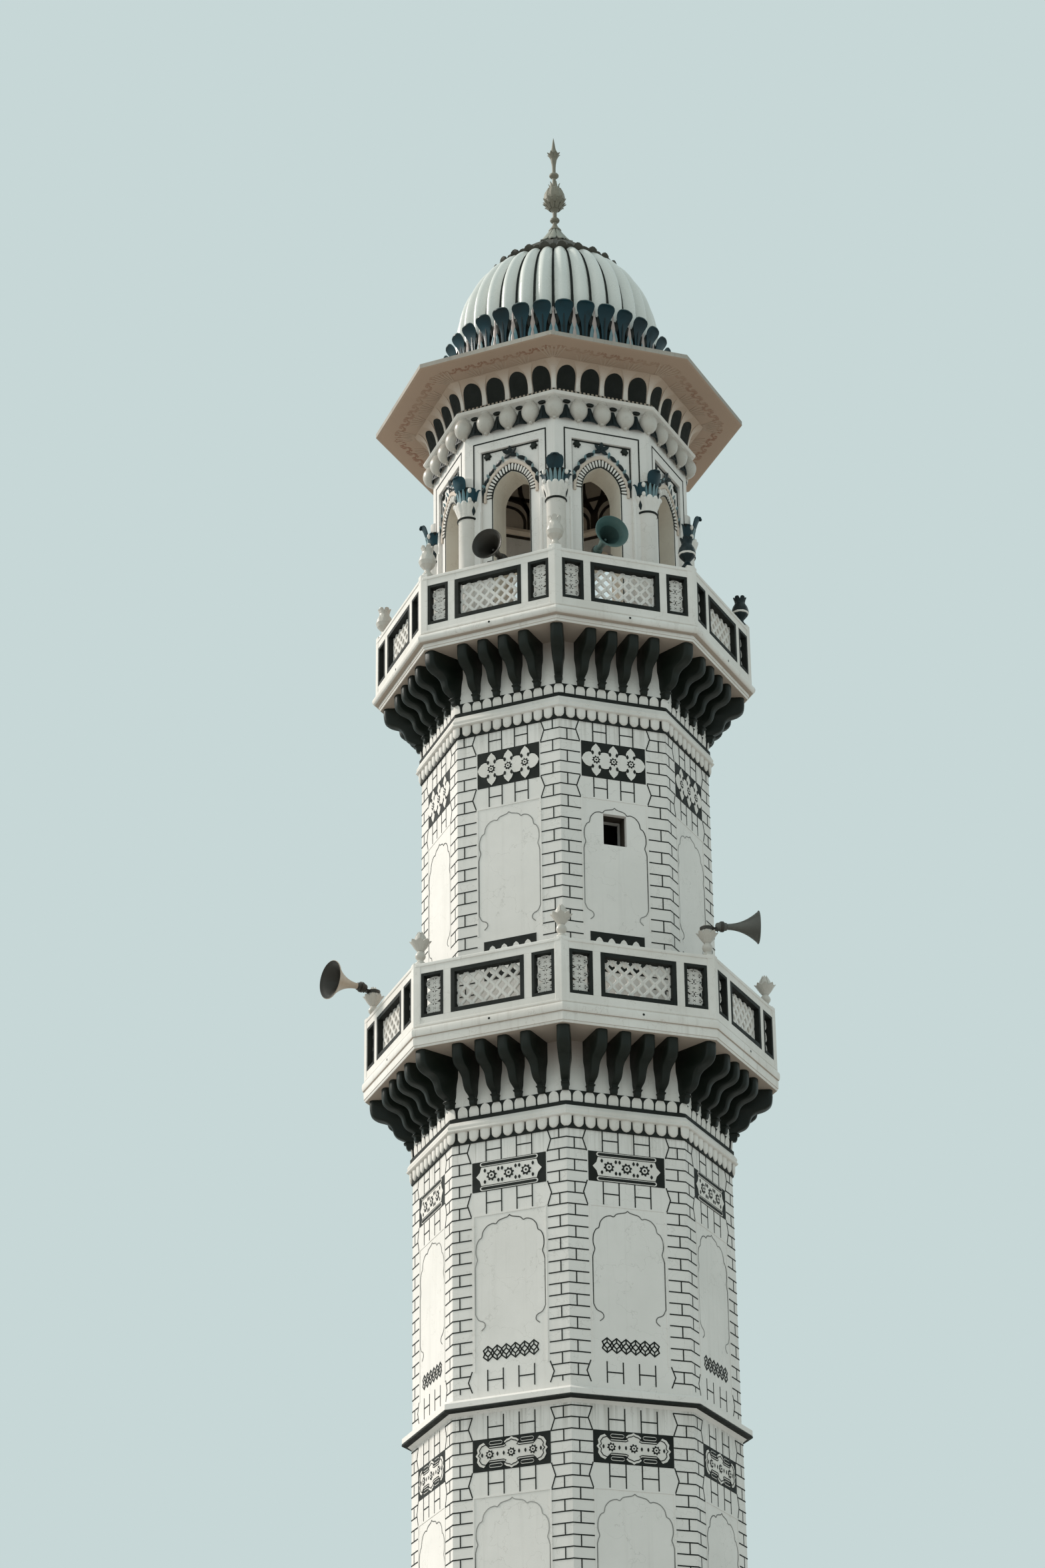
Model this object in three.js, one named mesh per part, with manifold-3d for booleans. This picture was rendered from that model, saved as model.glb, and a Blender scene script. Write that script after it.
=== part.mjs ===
// A tall octagonal minaret: a plinth, three tiers of plastered masonry shaft, two corbelled balconies
// with pierced parapets, an open lantern with eight pointed arches, a wide eave, a ribbed dome with a
// ring of leaves and a lotus cap, and a finial. Four horn loudspeakers are fixed to the balconies.
// Millimetres, +Z up. The origin is the middle of the foot, and the front is the flat side facing -Y.
// Every radius of an octagonal piece is measured to its corners. A bearing is an angle in degrees from
// the front, turning towards +X, so flat sides lie at 0, 45, 90 and corners at 22.5, 67.5.
import * as THREE from "three";
import { mergeVertices } from "three/addons/utils/BufferGeometryUtils.js";
import Module from "manifold-3d";

const wasm = await Module();
wasm.setup();

// Driving dimensions
const SIDES = 8;
const JOINT = 0.3; // gap between pieces that bear on each other
const WALL = 380; // wall thickness, measured along the corners
const FLAT = Math.cos(Math.PI / SIDES); // flat-side radius for a corner radius of 1
const HALF_SIDE = Math.sin(Math.PI / SIDES); // half a side for a corner radius of 1

const PLINTH = { radius: 2500, lip: 2420, shoulder: 470, slope: 70, top: 600 };
const BASE = { radius: 2231, top: 14500, bands: [5150, 9830], bandHeight: 220, bandOut: 130 };
const STRING = { radius: 2364, top: 14720 };
const MIDDLE = { radius: 2221, top: 18280 };
const UPPER = { radius: 2095, top: 24430 };
const WINDOW = { width: 345, sill: 22540, head: 23010 };

const LOWER_BALCONY = {
  name: "lower",
  wall: MIDDLE.radius,
  base: MIDDLE.top,
  fillet: 18600,
  feet: 18780,
  soffit: 19500,
  floor: 19700,
  curb: 19780,
  rail: 20715,
  postTop: 20745,
  soffitRadius: 2900,
  torusRadius: 2943,
  parapetRadius: 2905,
  corbelReach: 560,
  slabHole: MIDDLE.radius - WALL,
};
const UPPER_BALCONY = {
  name: "upper",
  wall: UPPER.radius,
  base: UPPER.top,
  fillet: 24770,
  feet: 24940,
  soffit: 25630,
  floor: 25790,
  curb: 25845,
  rail: 26770,
  postTop: 26830,
  soffitRadius: 2716,
  torusRadius: 2831,
  parapetRadius: 2775,
  corbelReach: 520,
  slabHole: 0,
};
// Parapet sides, with the three windows of a side for a corner radius of 1
const PARAPET = { thick: 110, screen: 45, post: 78, postDeep: 200, footRail: 40, below: 155, above: 145 };
const WINDOWS = { wide: 0.375, narrow: 0.112, bay: 0.285 };
const BUD = { inset: 120, high: 490 };

const LANTERN = { radius: 1921, inside: 1400, top: 29455, recess: 50, recessHalf: 470, recessTop: 29120 };
const ARCH = { half: 300, springing: 28330, rise: 390 };
const COLUMN = { centre: 1862, radius: 140, neck: 28040, capital: 28260, top: 28520 };
const CORNICE = { radius: 1940, lip: 2075, lipBottom: 29760, top: 29830, bulb: 138, bulbTip: 29390 };
const COVE = { foot: 1956, top: 30290, spread: 2210 };
const EAVE = { radius: 2800, thick: 78, crest: 30720, drum: 1640 };
const DOME = { ribs: 32, base: 30720, shoulder: 32400, crown: 33330, skin: 110, grooveDepth: 60 };
const LEAVES = { count: 32, radius: 1592, bottom: 30980, top: 31640, width: 235 };
const CAP = { radius: 965, rim: 33060, apex: 33950, petals: 20, notch: 43 };
const FINIAL_TIP = 35710;

// Shape helpers
function lathe(profile, segments, turn = 0) {
  const points = profile.map(([radius, height]) => new THREE.Vector2(radius, height));
  if (THREE.ShapeUtils.area(points) < 0) points.reverse();
  const geometry = new THREE.LatheGeometry(points, segments, turn, Math.PI * 2);
  return geometry.rotateX(Math.PI / 2);
}

// An octagonal ring or solid whose section is a list of [corner radius, height].
function octagon(profile) {
  const closed = profile[0][0] > 0 ? [...profile, profile[0]] : profile;
  return lathe(closed, SIDES, Math.PI / SIDES);
}

function tube(outer, inner, bottom, top) {
  return octagon([
    [inner, bottom],
    [outer, bottom],
    [outer, top],
    [inner, top],
  ]);
}

// A flat outline of [across, height], as thick as given, with its outer face at the distance given.
function upright(shape, thick, distance) {
  const geometry = new THREE.ExtrudeGeometry(shape, { depth: thick, bevelEnabled: false, curveSegments: 5 });
  return geometry.rotateX(Math.PI / 2).translate(0, thick - distance, 0);
}

// An outline of [outwards, height] in a radial plane, as wide as given.
function bracketSolid(shape, wide) {
  const geometry = new THREE.ExtrudeGeometry(shape, { depth: wide, bevelEnabled: false, curveSegments: 4 });
  return geometry.rotateX(Math.PI / 2).rotateZ(-Math.PI / 2).translate(wide / 2, 0, 0);
}

function outline(points) {
  return new THREE.Shape(points.map(([x, y]) => new THREE.Vector2(x, y)));
}

function rectangle(left, bottom, right, top) {
  return outline([
    [left, bottom],
    [right, bottom],
    [right, top],
    [left, top],
  ]);
}

function block(wide, deep, high, x, y, z) {
  return new THREE.BoxGeometry(wide, deep, high).translate(x, y, z);
}

function turned(geometry, bearing) {
  return geometry.clone().rotateZ(THREE.MathUtils.degToRad(bearing));
}

function solid(geometry) {
  const bare = new THREE.BufferGeometry().setAttribute("position", geometry.getAttribute("position"));
  if (geometry.index) bare.setIndex(geometry.index);
  const merged = mergeVertices(bare, 1e-3);
  return new wasm.Manifold(
    new wasm.Mesh({
      numProp: 3,
      vertProperties: new Float32Array(merged.attributes.position.array),
      triVerts: new Uint32Array(merged.index.array),
    }),
  );
}

function geometryOf(made) {
  const mesh = made.getMesh();
  const positions = new Float32Array(mesh.numVert * 3);
  for (let i = 0; i < mesh.numVert; i += 1) {
    positions.set(mesh.vertProperties.subarray(i * mesh.numProp, i * mesh.numProp + 3), i * 3);
  }
  const geometry = new THREE.BufferGeometry();
  geometry.setAttribute("position", new THREE.BufferAttribute(positions, 3));
  geometry.setIndex(new THREE.BufferAttribute(mesh.triVerts, 1));
  geometry.computeVertexNormals();
  return geometry;
}

function join(geometries) {
  return geometryOf(geometries.map(solid).reduce((whole, next) => whole.add(next)));
}

function cut(body, tools) {
  return geometryOf(tools.map(solid).reduce((whole, tool) => whole.subtract(tool), solid(body)));
}

// Finishes
const FINISH = {
  plaster: { color: 0xd6d8d2, roughness: 0.85, metalness: 0 },
  warmPlaster: { color: 0xb9a290, roughness: 0.9, metalness: 0 },
  darkPaint: { color: 0x1b221f, roughness: 0.5, metalness: 0 },
  tealPaint: { color: 0x15414c, roughness: 0.5, metalness: 0 },
  finial: { color: 0xaeb0a8, roughness: 0.6, metalness: 0 },
  hornGrey: { color: 0x6d6862, roughness: 0.55, metalness: 0.3 },
  hornTeal: { color: 0x3f6f70, roughness: 0.55, metalness: 0.3 },
};

const group = new THREE.Group();
group.name = "minaret";

function addStage(name) {
  const stage = new THREE.Group();
  stage.name = name;
  group.add(stage);
  return stage;
}

// Adds a piece to a stage of the tower, turned about the tower's axis by the bearing given.
function addPiece(stage, name, geometry, finish, bearing = 0) {
  const mesh = new THREE.Mesh(geometry, new THREE.MeshStandardMaterial(FINISH[finish]));
  mesh.name = name;
  mesh.rotation.z = THREE.MathUtils.degToRad(bearing);
  stage.add(mesh);
}

// Foot and shaft
function plinth() {
  return octagon([
    [0, 0],
    [PLINTH.radius, 0],
    [PLINTH.radius, PLINTH.shoulder],
    [PLINTH.lip, PLINTH.shoulder + PLINTH.slope],
    [PLINTH.lip, PLINTH.top],
    [0, PLINTH.top],
  ]);
}

function baseWall() {
  const inside = BASE.radius - WALL;
  const out = BASE.radius + BASE.bandOut;
  const profile = [
    [inside, PLINTH.top + JOINT],
    [BASE.radius, PLINTH.top + JOINT],
  ];
  BASE.bands.forEach((level) => {
    profile.push([BASE.radius, level], [out, level + 60], [out, level + BASE.bandHeight - 40]);
    profile.push([BASE.radius, level + BASE.bandHeight]);
  });
  profile.push([BASE.radius, BASE.top], [inside, BASE.top]);
  return octagon(profile);
}

function stringCourse() {
  const inside = MIDDLE.radius - WALL;
  return octagon([
    [inside, BASE.top + JOINT],
    [BASE.radius, BASE.top + JOINT],
    [STRING.radius - 40, BASE.top + 70],
    [STRING.radius, BASE.top + 90],
    [STRING.radius, STRING.top - 60],
    [MIDDLE.radius + 20, STRING.top - JOINT],
    [inside, STRING.top - JOINT],
  ]);
}

function upperWall() {
  const body = tube(UPPER.radius, UPPER.radius - WALL, LOWER_BALCONY.floor + JOINT, UPPER.top - JOINT);
  const high = WINDOW.head - WINDOW.sill;
  const hole = block(WINDOW.width, WALL * 2, high, 0, -UPPER.radius * FLAT, WINDOW.sill + high / 2);
  return cut(body, [hole]);
}

// A cornice: hanging tongues, a white moulding, a black fillet and a plain band for the scallops.
function shaftCornice(b) {
  const inside = b.wall - WALL;
  return octagon([
    [inside, b.base],
    [b.wall + 12, b.base],
    [b.wall + 55, b.base + 40],
    [b.wall + 55, b.base + 150],
    [b.wall + 72, b.base + 175],
    [b.wall + 72, b.base + 225],
    [b.wall + 28, b.fillet - 30],
    [b.wall + 28, b.fillet + 30],
    [b.wall + 4, b.fillet + 34],
    [b.wall + 4, b.feet - JOINT],
    [inside, b.feet - JOINT],
  ]);
}

// One scrolled corbel, standing out from a wall at the distance given.
function corbel(b, distance, reach, wide) {
  const high = b.soffit - JOINT - b.feet;
  const at = (out, down) => [distance + reach * out, b.soffit - JOINT - high * down];
  const back = distance - 60;
  const shape = outline([
    [back, b.soffit - JOINT],
    at(1, 0),
    at(1, 0.22),
    at(0.86, 0.42),
    at(0.58, 0.48),
    at(0.36, 0.7),
    at(0.16, 0.84),
    at(0.18, 1),
    [back, b.feet],
  ]);
  return bracketSolid(shape, wide);
}

function corbelRing(b) {
  const pitch = (b.wall * HALF_SIDE * 2) / 5;
  const pieces = [tube(b.wall, b.wall - WALL, b.feet, b.soffit - JOINT)];
  const onFace = corbel(b, b.wall * FLAT, b.corbelReach, 140);
  const onCorner = corbel(b, b.wall, b.corbelReach / FLAT, 170);
  for (let side = 0; side < SIDES; side += 1) {
    const bearing = (side * 360) / SIDES;
    [-1.5, -0.5, 0.5, 1.5].forEach((step) => {
      pieces.push(turned(onFace.clone().translate(step * pitch, 0, 0), bearing));
    });
    pieces.push(turned(onCorner, bearing + 180 / SIDES));
  }
  return join(pieces);
}

function balconySlab(b) {
  const groove = b.soffit + (b.curb - b.soffit) * 0.36;
  const edge = [
    [b.soffitRadius, b.soffit],
    [b.soffitRadius, groove - 12],
    [b.soffitRadius - 14, groove],
    [b.soffitRadius + 22, groove + 14],
    [b.torusRadius - 18, b.curb - 62],
    [b.torusRadius, b.curb - 40],
    [b.torusRadius - 14, b.curb - 12],
    [b.parapetRadius, b.curb],
    [b.parapetRadius - PARAPET.thick / FLAT, b.curb],
    [b.parapetRadius - PARAPET.thick / FLAT, b.floor],
  ];
  return octagon([[b.slabHole, b.soffit], ...edge, [b.slabHole, b.floor]]);
}

// Parapets
// One side: a slab with three windows sunk from its outer face, which leaves a thin screen in each.
function parapetSide(b) {
  const half = b.parapetRadius * HALF_SIDE - PARAPET.post - JOINT;
  const distance = b.parapetRadius * FLAT;
  const sunk = PARAPET.thick - PARAPET.screen;
  const side = rectangle(-half, b.curb + PARAPET.footRail + JOINT, half, b.rail);
  const body = upright(side, PARAPET.thick, distance);
  const tools = [-1, 0, 1].map((step) => {
    const middle = step * WINDOWS.bay * b.parapetRadius;
    const wide = (step === 0 ? WINDOWS.wide : WINDOWS.narrow) * b.parapetRadius;
    const low = b.curb + PARAPET.below;
    const window = rectangle(middle - wide / 2, low, middle + wide / 2, b.rail - PARAPET.above);
    return upright(window, sunk + 10, distance + 10);
  });
  return cut(body, tools);
}

// A post in the corner of the parapet: it reaches the same way along both sides, and is square inside.
function cornerPost(b) {
  const turn = Math.PI / SIDES;
  const across = PARAPET.post * Math.cos(turn);
  const side = PARAPET.post * Math.sin(turn) - b.parapetRadius;
  const plan = outline([
    [0, -b.parapetRadius],
    [across, side],
    [across - PARAPET.thick * Math.sin(turn), side + PARAPET.thick * Math.cos(turn)],
    [across - PARAPET.thick * Math.sin(turn), PARAPET.postDeep - b.parapetRadius],
    [-across + PARAPET.thick * Math.sin(turn), PARAPET.postDeep - b.parapetRadius],
    [-across + PARAPET.thick * Math.sin(turn), side + PARAPET.thick * Math.cos(turn)],
    [-across, side],
  ]);
  const bottom = b.curb + PARAPET.footRail / 2;
  const post = new THREE.ExtrudeGeometry(plan, { depth: b.postTop - bottom, bevelEnabled: false });
  return post.translate(0, 0, bottom);
}

// The bud on a post: foot ring, neck, bulb and a blunt tip, as [radius, height above the post].
const BUD_PROFILE = {
  lower: [
    [76, -20],
    [76, 40],
    [48, 90],
    [140, 220],
    [148, 290],
    [62, 430],
    [44, BUD.high],
  ],
  upper: [
    [84, -20],
    [84, 36],
    [50, 90],
    [122, 210],
    [126, 290],
    [86, 400],
    [94, BUD.high],
  ],
};

// grown is how far the bud is swollen, which leaves the seat of a horn's clamp clear of it.
function bud(b, grown) {
  const profile = BUD_PROFILE[b.name].map(([radius, height]) => [radius + grown, height]);
  const top = profile[profile.length - 1][1] + grown;
  return lathe([[0, -20], ...profile, [0, top]], 6).translate(0, BUD.inset - b.parapetRadius, b.postTop);
}

// The eight posts with their buds, on the foot rail that carries them.
function postsAndBuds(b) {
  const inside = b.parapetRadius - PARAPET.thick / FLAT;
  const pieces = [tube(b.parapetRadius, inside, b.curb + JOINT, b.curb + PARAPET.footRail)];
  const post = join([cornerPost(b), bud(b, 0)]);
  for (let i = 0; i < SIDES; i += 1) pieces.push(turned(post, ((i + 0.5) * 360) / SIDES));
  return join(pieces);
}

function addBalcony(b) {
  const balcony = addStage(b.name + "_balcony");
  addPiece(balcony, b.name + "_cornice", shaftCornice(b), "plaster");
  addPiece(balcony, b.name + "_corbels", corbelRing(b), "darkPaint");
  addPiece(balcony, b.name + "_balcony_slab", balconySlab(b), "plaster");
  addPiece(balcony, b.name + "_posts", postsAndBuds(b), "plaster");
  for (let i = 0; i < SIDES; i += 1) {
    addPiece(balcony, b.name + "_parapet_" + (i + 1), parapetSide(b), "plaster", (i * 360) / SIDES);
  }
}

// Lantern
function pointedArch(half, bottom, springing, rise) {
  const radius = (half * half + rise * rise) / (2 * half);
  const offset = radius - half;
  const angle = Math.acos(offset / radius);
  const shape = new THREE.Shape();
  shape.moveTo(-half, bottom);
  shape.lineTo(half, bottom);
  shape.lineTo(half, springing);
  shape.absarc(-offset, springing, radius, 0, angle, false);
  shape.absarc(offset, springing, radius, Math.PI - angle, Math.PI, false);
  shape.lineTo(-half, bottom);
  return shape;
}

function engagedColumn(radius, extra) {
  const foot = UPPER_BALCONY.floor + JOINT;
  return lathe(
    [
      [0, foot],
      [radius + 30 + extra, foot],
      [radius + 30 + extra, foot + 120],
      [radius + extra, foot + 160],
      [radius + extra, COLUMN.neck],
      [radius + 50 + extra, COLUMN.capital],
      [radius + 40 + extra, COLUMN.top],
      [0, COLUMN.top],
    ],
    8,
  ).translate(0, -COLUMN.centre, 0);
}

function lanternWall() {
  const bottom = UPPER_BALCONY.floor + JOINT;
  const top = LANTERN.top - JOINT;
  const outer = LANTERN.radius * FLAT;
  const inner = LANTERN.inside * FLAT;
  const slope = Math.tan(Math.PI / SIDES);
  const plan = outline([
    [-outer * slope + JOINT, -outer],
    [outer * slope - JOINT, -outer],
    [inner * slope - JOINT, -inner],
    [-inner * slope + JOINT, -inner],
  ]);
  const body = new THREE.ExtrudeGeometry(plan, { depth: top - bottom, bevelEnabled: false });
  body.translate(0, 0, bottom);
  const recess = rectangle(-LANTERN.recessHalf, bottom - 10, LANTERN.recessHalf, LANTERN.recessTop);
  const opening = pointedArch(ARCH.half, bottom - 10, ARCH.springing, ARCH.rise);
  const cleared = cut(body, [
    upright(recess, LANTERN.recess + 100, outer + 100),
    upright(opening, 1200, outer + 100),
    turned(engagedColumn(COLUMN.radius, JOINT), 180 / SIDES),
  ]);
  return join([cleared, turned(engagedColumn(COLUMN.radius, 0), -180 / SIDES)]);
}

function lanternCornice() {
  const inside = LANTERN.inside;
  const ring = octagon([
    [inside, LANTERN.top],
    [LANTERN.radius, LANTERN.top],
    [CORNICE.radius, CORNICE.lipBottom],
    [CORNICE.lip - 20, CORNICE.lipBottom],
    [CORNICE.lip, CORNICE.lipBottom + 20],
    [CORNICE.lip, CORNICE.top - 20],
    [COVE.foot + 20, CORNICE.top - JOINT],
    [inside, CORNICE.top - JOINT],
  ]);
  const high = CORNICE.lipBottom - CORNICE.bulbTip;
  const bulb = lathe(
    [
      [0, CORNICE.bulbTip],
      [34, CORNICE.bulbTip + high * 0.1],
      [CORNICE.bulb * 0.94, CORNICE.bulbTip + high * 0.4],
      [CORNICE.bulb, CORNICE.bulbTip + high * 0.65],
      [CORNICE.bulb * 0.6, CORNICE.lipBottom + 10],
      [0, CORNICE.lipBottom + 10],
    ],
    6,
  );
  const pieces = [ring];
  const pitch = (LANTERN.radius * HALF_SIDE * 2) / 4;
  for (let side = 0; side < SIDES; side += 1) {
    const bearing = (side * 360) / SIDES;
    [-1, 0, 1].forEach((step) => {
      pieces.push(turned(bulb.clone().translate(step * pitch, -LANTERN.radius * FLAT - 30, 0), bearing));
    });
    pieces.push(turned(bulb.clone().translate(0, -LANTERN.radius - 20, 0), bearing + 180 / SIDES));
  }
  const wallBelow = tube(LANTERN.radius + JOINT, inside - 10, CORNICE.bulbTip - 10, LANTERN.top);
  return cut(join(pieces), [wallBelow]);
}

function cove() {
  return octagon([
    [LANTERN.inside, CORNICE.top],
    [COVE.foot, CORNICE.top],
    [COVE.foot + 14, CORNICE.top + 160],
    [COVE.foot + 64, CORNICE.top + 330],
    [COVE.foot + 140, CORNICE.top + 420],
    [COVE.spread, COVE.top - JOINT],
    [LANTERN.inside, COVE.top - JOINT],
  ]);
}

function eave() {
  return octagon([
    [LANTERN.inside, COVE.top],
    [EAVE.radius - 30, COVE.top],
    [EAVE.radius, COVE.top + 8],
    [EAVE.radius, COVE.top + EAVE.thick],
    [EAVE.drum + 60, EAVE.crest - 40],
    [EAVE.drum, EAVE.crest - JOINT],
    [LANTERN.inside, EAVE.crest - JOINT],
  ]);
}

// Dome
const DOME_PROFILE = [
  [1500, 31050],
  [1552, 31440],
  [1567, 31760],
  [1528, 32120],
  [1400, 32510],
  [1190, 32830],
  [900, 33080],
];

// The dome's outer body, swollen by the amount given.
function domeBody(grown) {
  const profile = [[1480, DOME.base], ...DOME_PROFILE].map(([radius, height]) => [
    radius + grown,
    height + grown,
  ]);
  return lathe([[0, profile[0][1]], ...profile, [0, DOME.crown + grown]], DOME.ribs * 2);
}

// Draws the points on a number of evenly spaced bearings in by the depth, outside the radius given.
function notched(geometry, count, depth, beyond) {
  const place = geometry.attributes.position;
  for (let i = 0; i < place.count; i += 1) {
    const radius = Math.hypot(place.getX(i), place.getY(i));
    const turn = (Math.atan2(place.getX(i), -place.getY(i)) / (2 * Math.PI)) * count;
    if (radius > beyond && Math.abs(Math.round(turn) - turn) < 0.1) {
      const scale = (radius - depth) / radius;
      place.setXY(i, place.getX(i) * scale, place.getY(i) * scale);
    }
  }
  return geometry;
}

// Every second corner is drawn in to a groove, which leaves one rib between two grooves.
function ribbedDome() {
  const outer = notched(domeBody(0), DOME.ribs, DOME.grooveDepth, CAP.radius / 2);
  const hollow = DOME_PROFILE.map(([radius, height]) => [
    radius - DOME.grooveDepth - DOME.skin,
    height - (height > DOME.shoulder ? DOME.skin : 0),
  ]);
  const mouth = [hollow[0][0], DOME.base - 10];
  const inner = lathe([[0, DOME.base - 10], mouth, ...hollow, [0, DOME.crown - DOME.skin * 2]], 16);
  return cut(outer, [inner]);
}

// A ring of leaves that stand against the foot of the dome and curl outwards at the tip.
function leafRing() {
  const { radius, bottom, top } = LEAVES;
  const leaf = bracketSolid(
    outline([
      [radius - 20, bottom],
      [radius + 20, bottom],
      [radius + 30, top - 220],
      [radius + 122, top - 50],
      [radius + 100, top],
      [radius - 12, top - 150],
    ]),
    LEAVES.width,
  );
  const ring = lathe(
    [
      [radius - 17, EAVE.crest],
      [radius + 48, EAVE.crest],
      [radius + 14, EAVE.crest + 150],
      [radius + 14, bottom + 60],
      [radius - 17, bottom + 60],
      [radius - 17, EAVE.crest],
    ],
    LEAVES.count,
  );
  const pieces = [ring];
  for (let i = 0; i < LEAVES.count; i += 1) pieces.push(turned(leaf, ((i + 0.5) * 360) / LEAVES.count));
  return join(pieces);
}

function lotusCap() {
  const cap = lathe(
    [
      [0, CAP.rim],
      [CAP.radius - 30, CAP.rim],
      [CAP.radius, CAP.rim + 24],
      [820, CAP.rim + 168],
      [330, CAP.rim + 620],
      [90, CAP.apex],
      [0, CAP.apex],
    ],
    CAP.petals * 2,
  );
  const petalled = notched(cap, CAP.petals, CAP.notch, CAP.radius - 40);
  return cut(petalled, [domeBody(JOINT)]);
}

function finial() {
  const foot = CAP.apex + JOINT;
  return lathe(
    [
      [0, foot],
      [86, foot],
      [60, foot + 40],
      [34, foot + 110],
      [34, 34110],
      [78, 34130],
      [78, 34165],
      [40, 34190],
      [40, 34300],
      [120, 34400],
      [190, 34450],
      [150, 34490],
      [172, 34575],
      [140, 34690],
      [74, 34770],
      [92, 34815],
      [30, 34840],
      [30, 34950],
      [72, 34975],
      [72, 35005],
      [34, 35030],
      [28, 35180],
      [62, 35350],
      [98, 35420],
      [50, 35450],
      [24, 35580],
      [0, FINIAL_TIP],
    ],
    8,
  );
}

// Horn loudspeakers: mouth is the radius of the rim, axis the height of the horn's middle line
const HORN = { skin: 10, throat: 42, driver: 66, driverLength: 150, clamp: 270, lift: 455 };
const HORN_RIM = 2640; // how far the mouths of the upper horns stand from the tower's axis
const UPPER_HORNS = [
  { name: "horn_1", bearing: -45, across: 30, mouth: 228, length: 430, axis: 27040, finish: "hornGrey" },
  { name: "horn_2", bearing: 0, across: -215, mouth: 245, length: 520, axis: 27130, finish: "hornTeal" },
];
const LOWER_HORNS = [
  { name: "horn_3", post: -112.5, bearing: -75, mouth: 275, length: 450, finish: "hornGrey" },
  { name: "horn_4", post: 22.5, bearing: 74, mouth: 225, length: 440, finish: "hornGrey" },
];

// A flared bell with its driver: the throat is at the origin and the mouth opens towards -Y.
function hornBell({ mouth, length }) {
  const steps = [0, 0.4, 0.7, 0.88, 1];
  const flare = (t) => HORN.throat + (mouth - HORN.throat) * t ** 2.2;
  const outer = steps.map((t) => [flare(t), t * length]);
  const inner = steps.map((t) => [flare(t) - HORN.skin, t < 1 ? t * length + HORN.skin : length]);
  const bell = lathe([[0, 0], ...outer, ...inner.reverse(), [0, HORN.skin]], 10);
  const driver = lathe(
    [
      [0, -HORN.driverLength],
      [HORN.driver - 12, -HORN.driverLength],
      [HORN.driver, 14 - HORN.driverLength],
      [HORN.driver, 8],
      [0, 8],
    ],
    10,
  );
  return [bell, driver].map((piece) => piece.rotateX(Math.PI / 2));
}

// A horn that stands on a parapet rail by a foot plate and an arm that runs back under the driver.
function railHorn(h) {
  const b = UPPER_BALCONY;
  const throat = HORN_RIM - h.length;
  const foot = b.parapetRadius * FLAT - PARAPET.thick / 2 - throat;
  const rail = b.rail + JOINT - h.axis;
  const arm = outline([
    [-90, -HORN.driver + 12],
    [-90, -HORN.driver - 30],
    [60, rail + 14],
    [foot - 48, rail + 14],
    [foot - 48, rail],
    [foot + 48, rail],
    [foot + 48, rail + 20],
    [80, rail + 40],
    [-30, -HORN.driver + 12],
  ]);
  const pieces = [...hornBell(h), bracketSolid(arm, 70)];
  return join(pieces).translate(h.across, -throat, h.axis);
}

// A horn clamped to the bud of a corner post by a flat plate with a hole for the bud.
function budHorn(h) {
  const b = LOWER_BALCONY;
  const axis = b.postTop + HORN.lift;
  const plate = block(240, HORN.clamp + 60, 36, 0, (HORN.clamp + 190) / 2, -HORN.driver + 20);
  const pieces = join([...hornBell(h), plate]);
  const reach = b.parapetRadius - BUD.inset;
  const at = THREE.MathUtils.degToRad(h.post);
  const toward = THREE.MathUtils.degToRad(h.bearing);
  const x = Math.sin(at) * reach + Math.sin(toward) * HORN.clamp;
  const y = -Math.cos(at) * reach - Math.cos(toward) * HORN.clamp;
  const placed = turned(pieces, h.bearing).translate(x, y, axis);
  return cut(placed, [turned(bud(b, JOINT), h.post)]);
}

// Assembly, from the ground up
const shaft = addStage("shaft");
const middleWall = tube(MIDDLE.radius, MIDDLE.radius - WALL, STRING.top, MIDDLE.top - JOINT);
addPiece(shaft, "plinth", plinth(), "plaster");
addPiece(shaft, "base_wall", baseWall(), "plaster");
addPiece(shaft, "string_course", stringCourse(), "plaster");
addPiece(shaft, "middle_wall", middleWall, "plaster");
addPiece(shaft, "upper_wall", upperWall(), "plaster");

addBalcony(LOWER_BALCONY);
addBalcony(UPPER_BALCONY);

const lantern = addStage("lantern");
for (let i = 0; i < SIDES; i += 1) {
  addPiece(lantern, "lantern_wall_" + (i + 1), lanternWall(), "plaster", (i * 360) / SIDES);
}
addPiece(lantern, "lantern_cornice", lanternCornice(), "plaster");
addPiece(lantern, "cove", cove(), "warmPlaster");
addPiece(lantern, "eave", eave(), "warmPlaster");

const roof = addStage("roof");
addPiece(roof, "dome", ribbedDome(), "plaster");
addPiece(roof, "leaf_ring", leafRing(), "tealPaint");
addPiece(roof, "lotus_cap", lotusCap(), "finial");
addPiece(roof, "finial", finial(), "finial");

const horns = addStage("horns");
UPPER_HORNS.forEach((h) => addPiece(horns, h.name, railHorn(h), h.finish, h.bearing));
LOWER_HORNS.forEach((h) => addPiece(horns, h.name, budHorn(h), h.finish));

export default group;
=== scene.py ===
"""Looks for an octagonal plastered minaret: two corbelled balconies, an open lantern, a ribbed dome.

Metres, +Z up. Every piece of a flat side is modelled on the front, which faces -Y, as [across, height]
at a distance out from the tower's axis, and is then copied round to all eight sides or corners.
"""

import math

import bpy
from mathutils import Matrix, Vector


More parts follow.
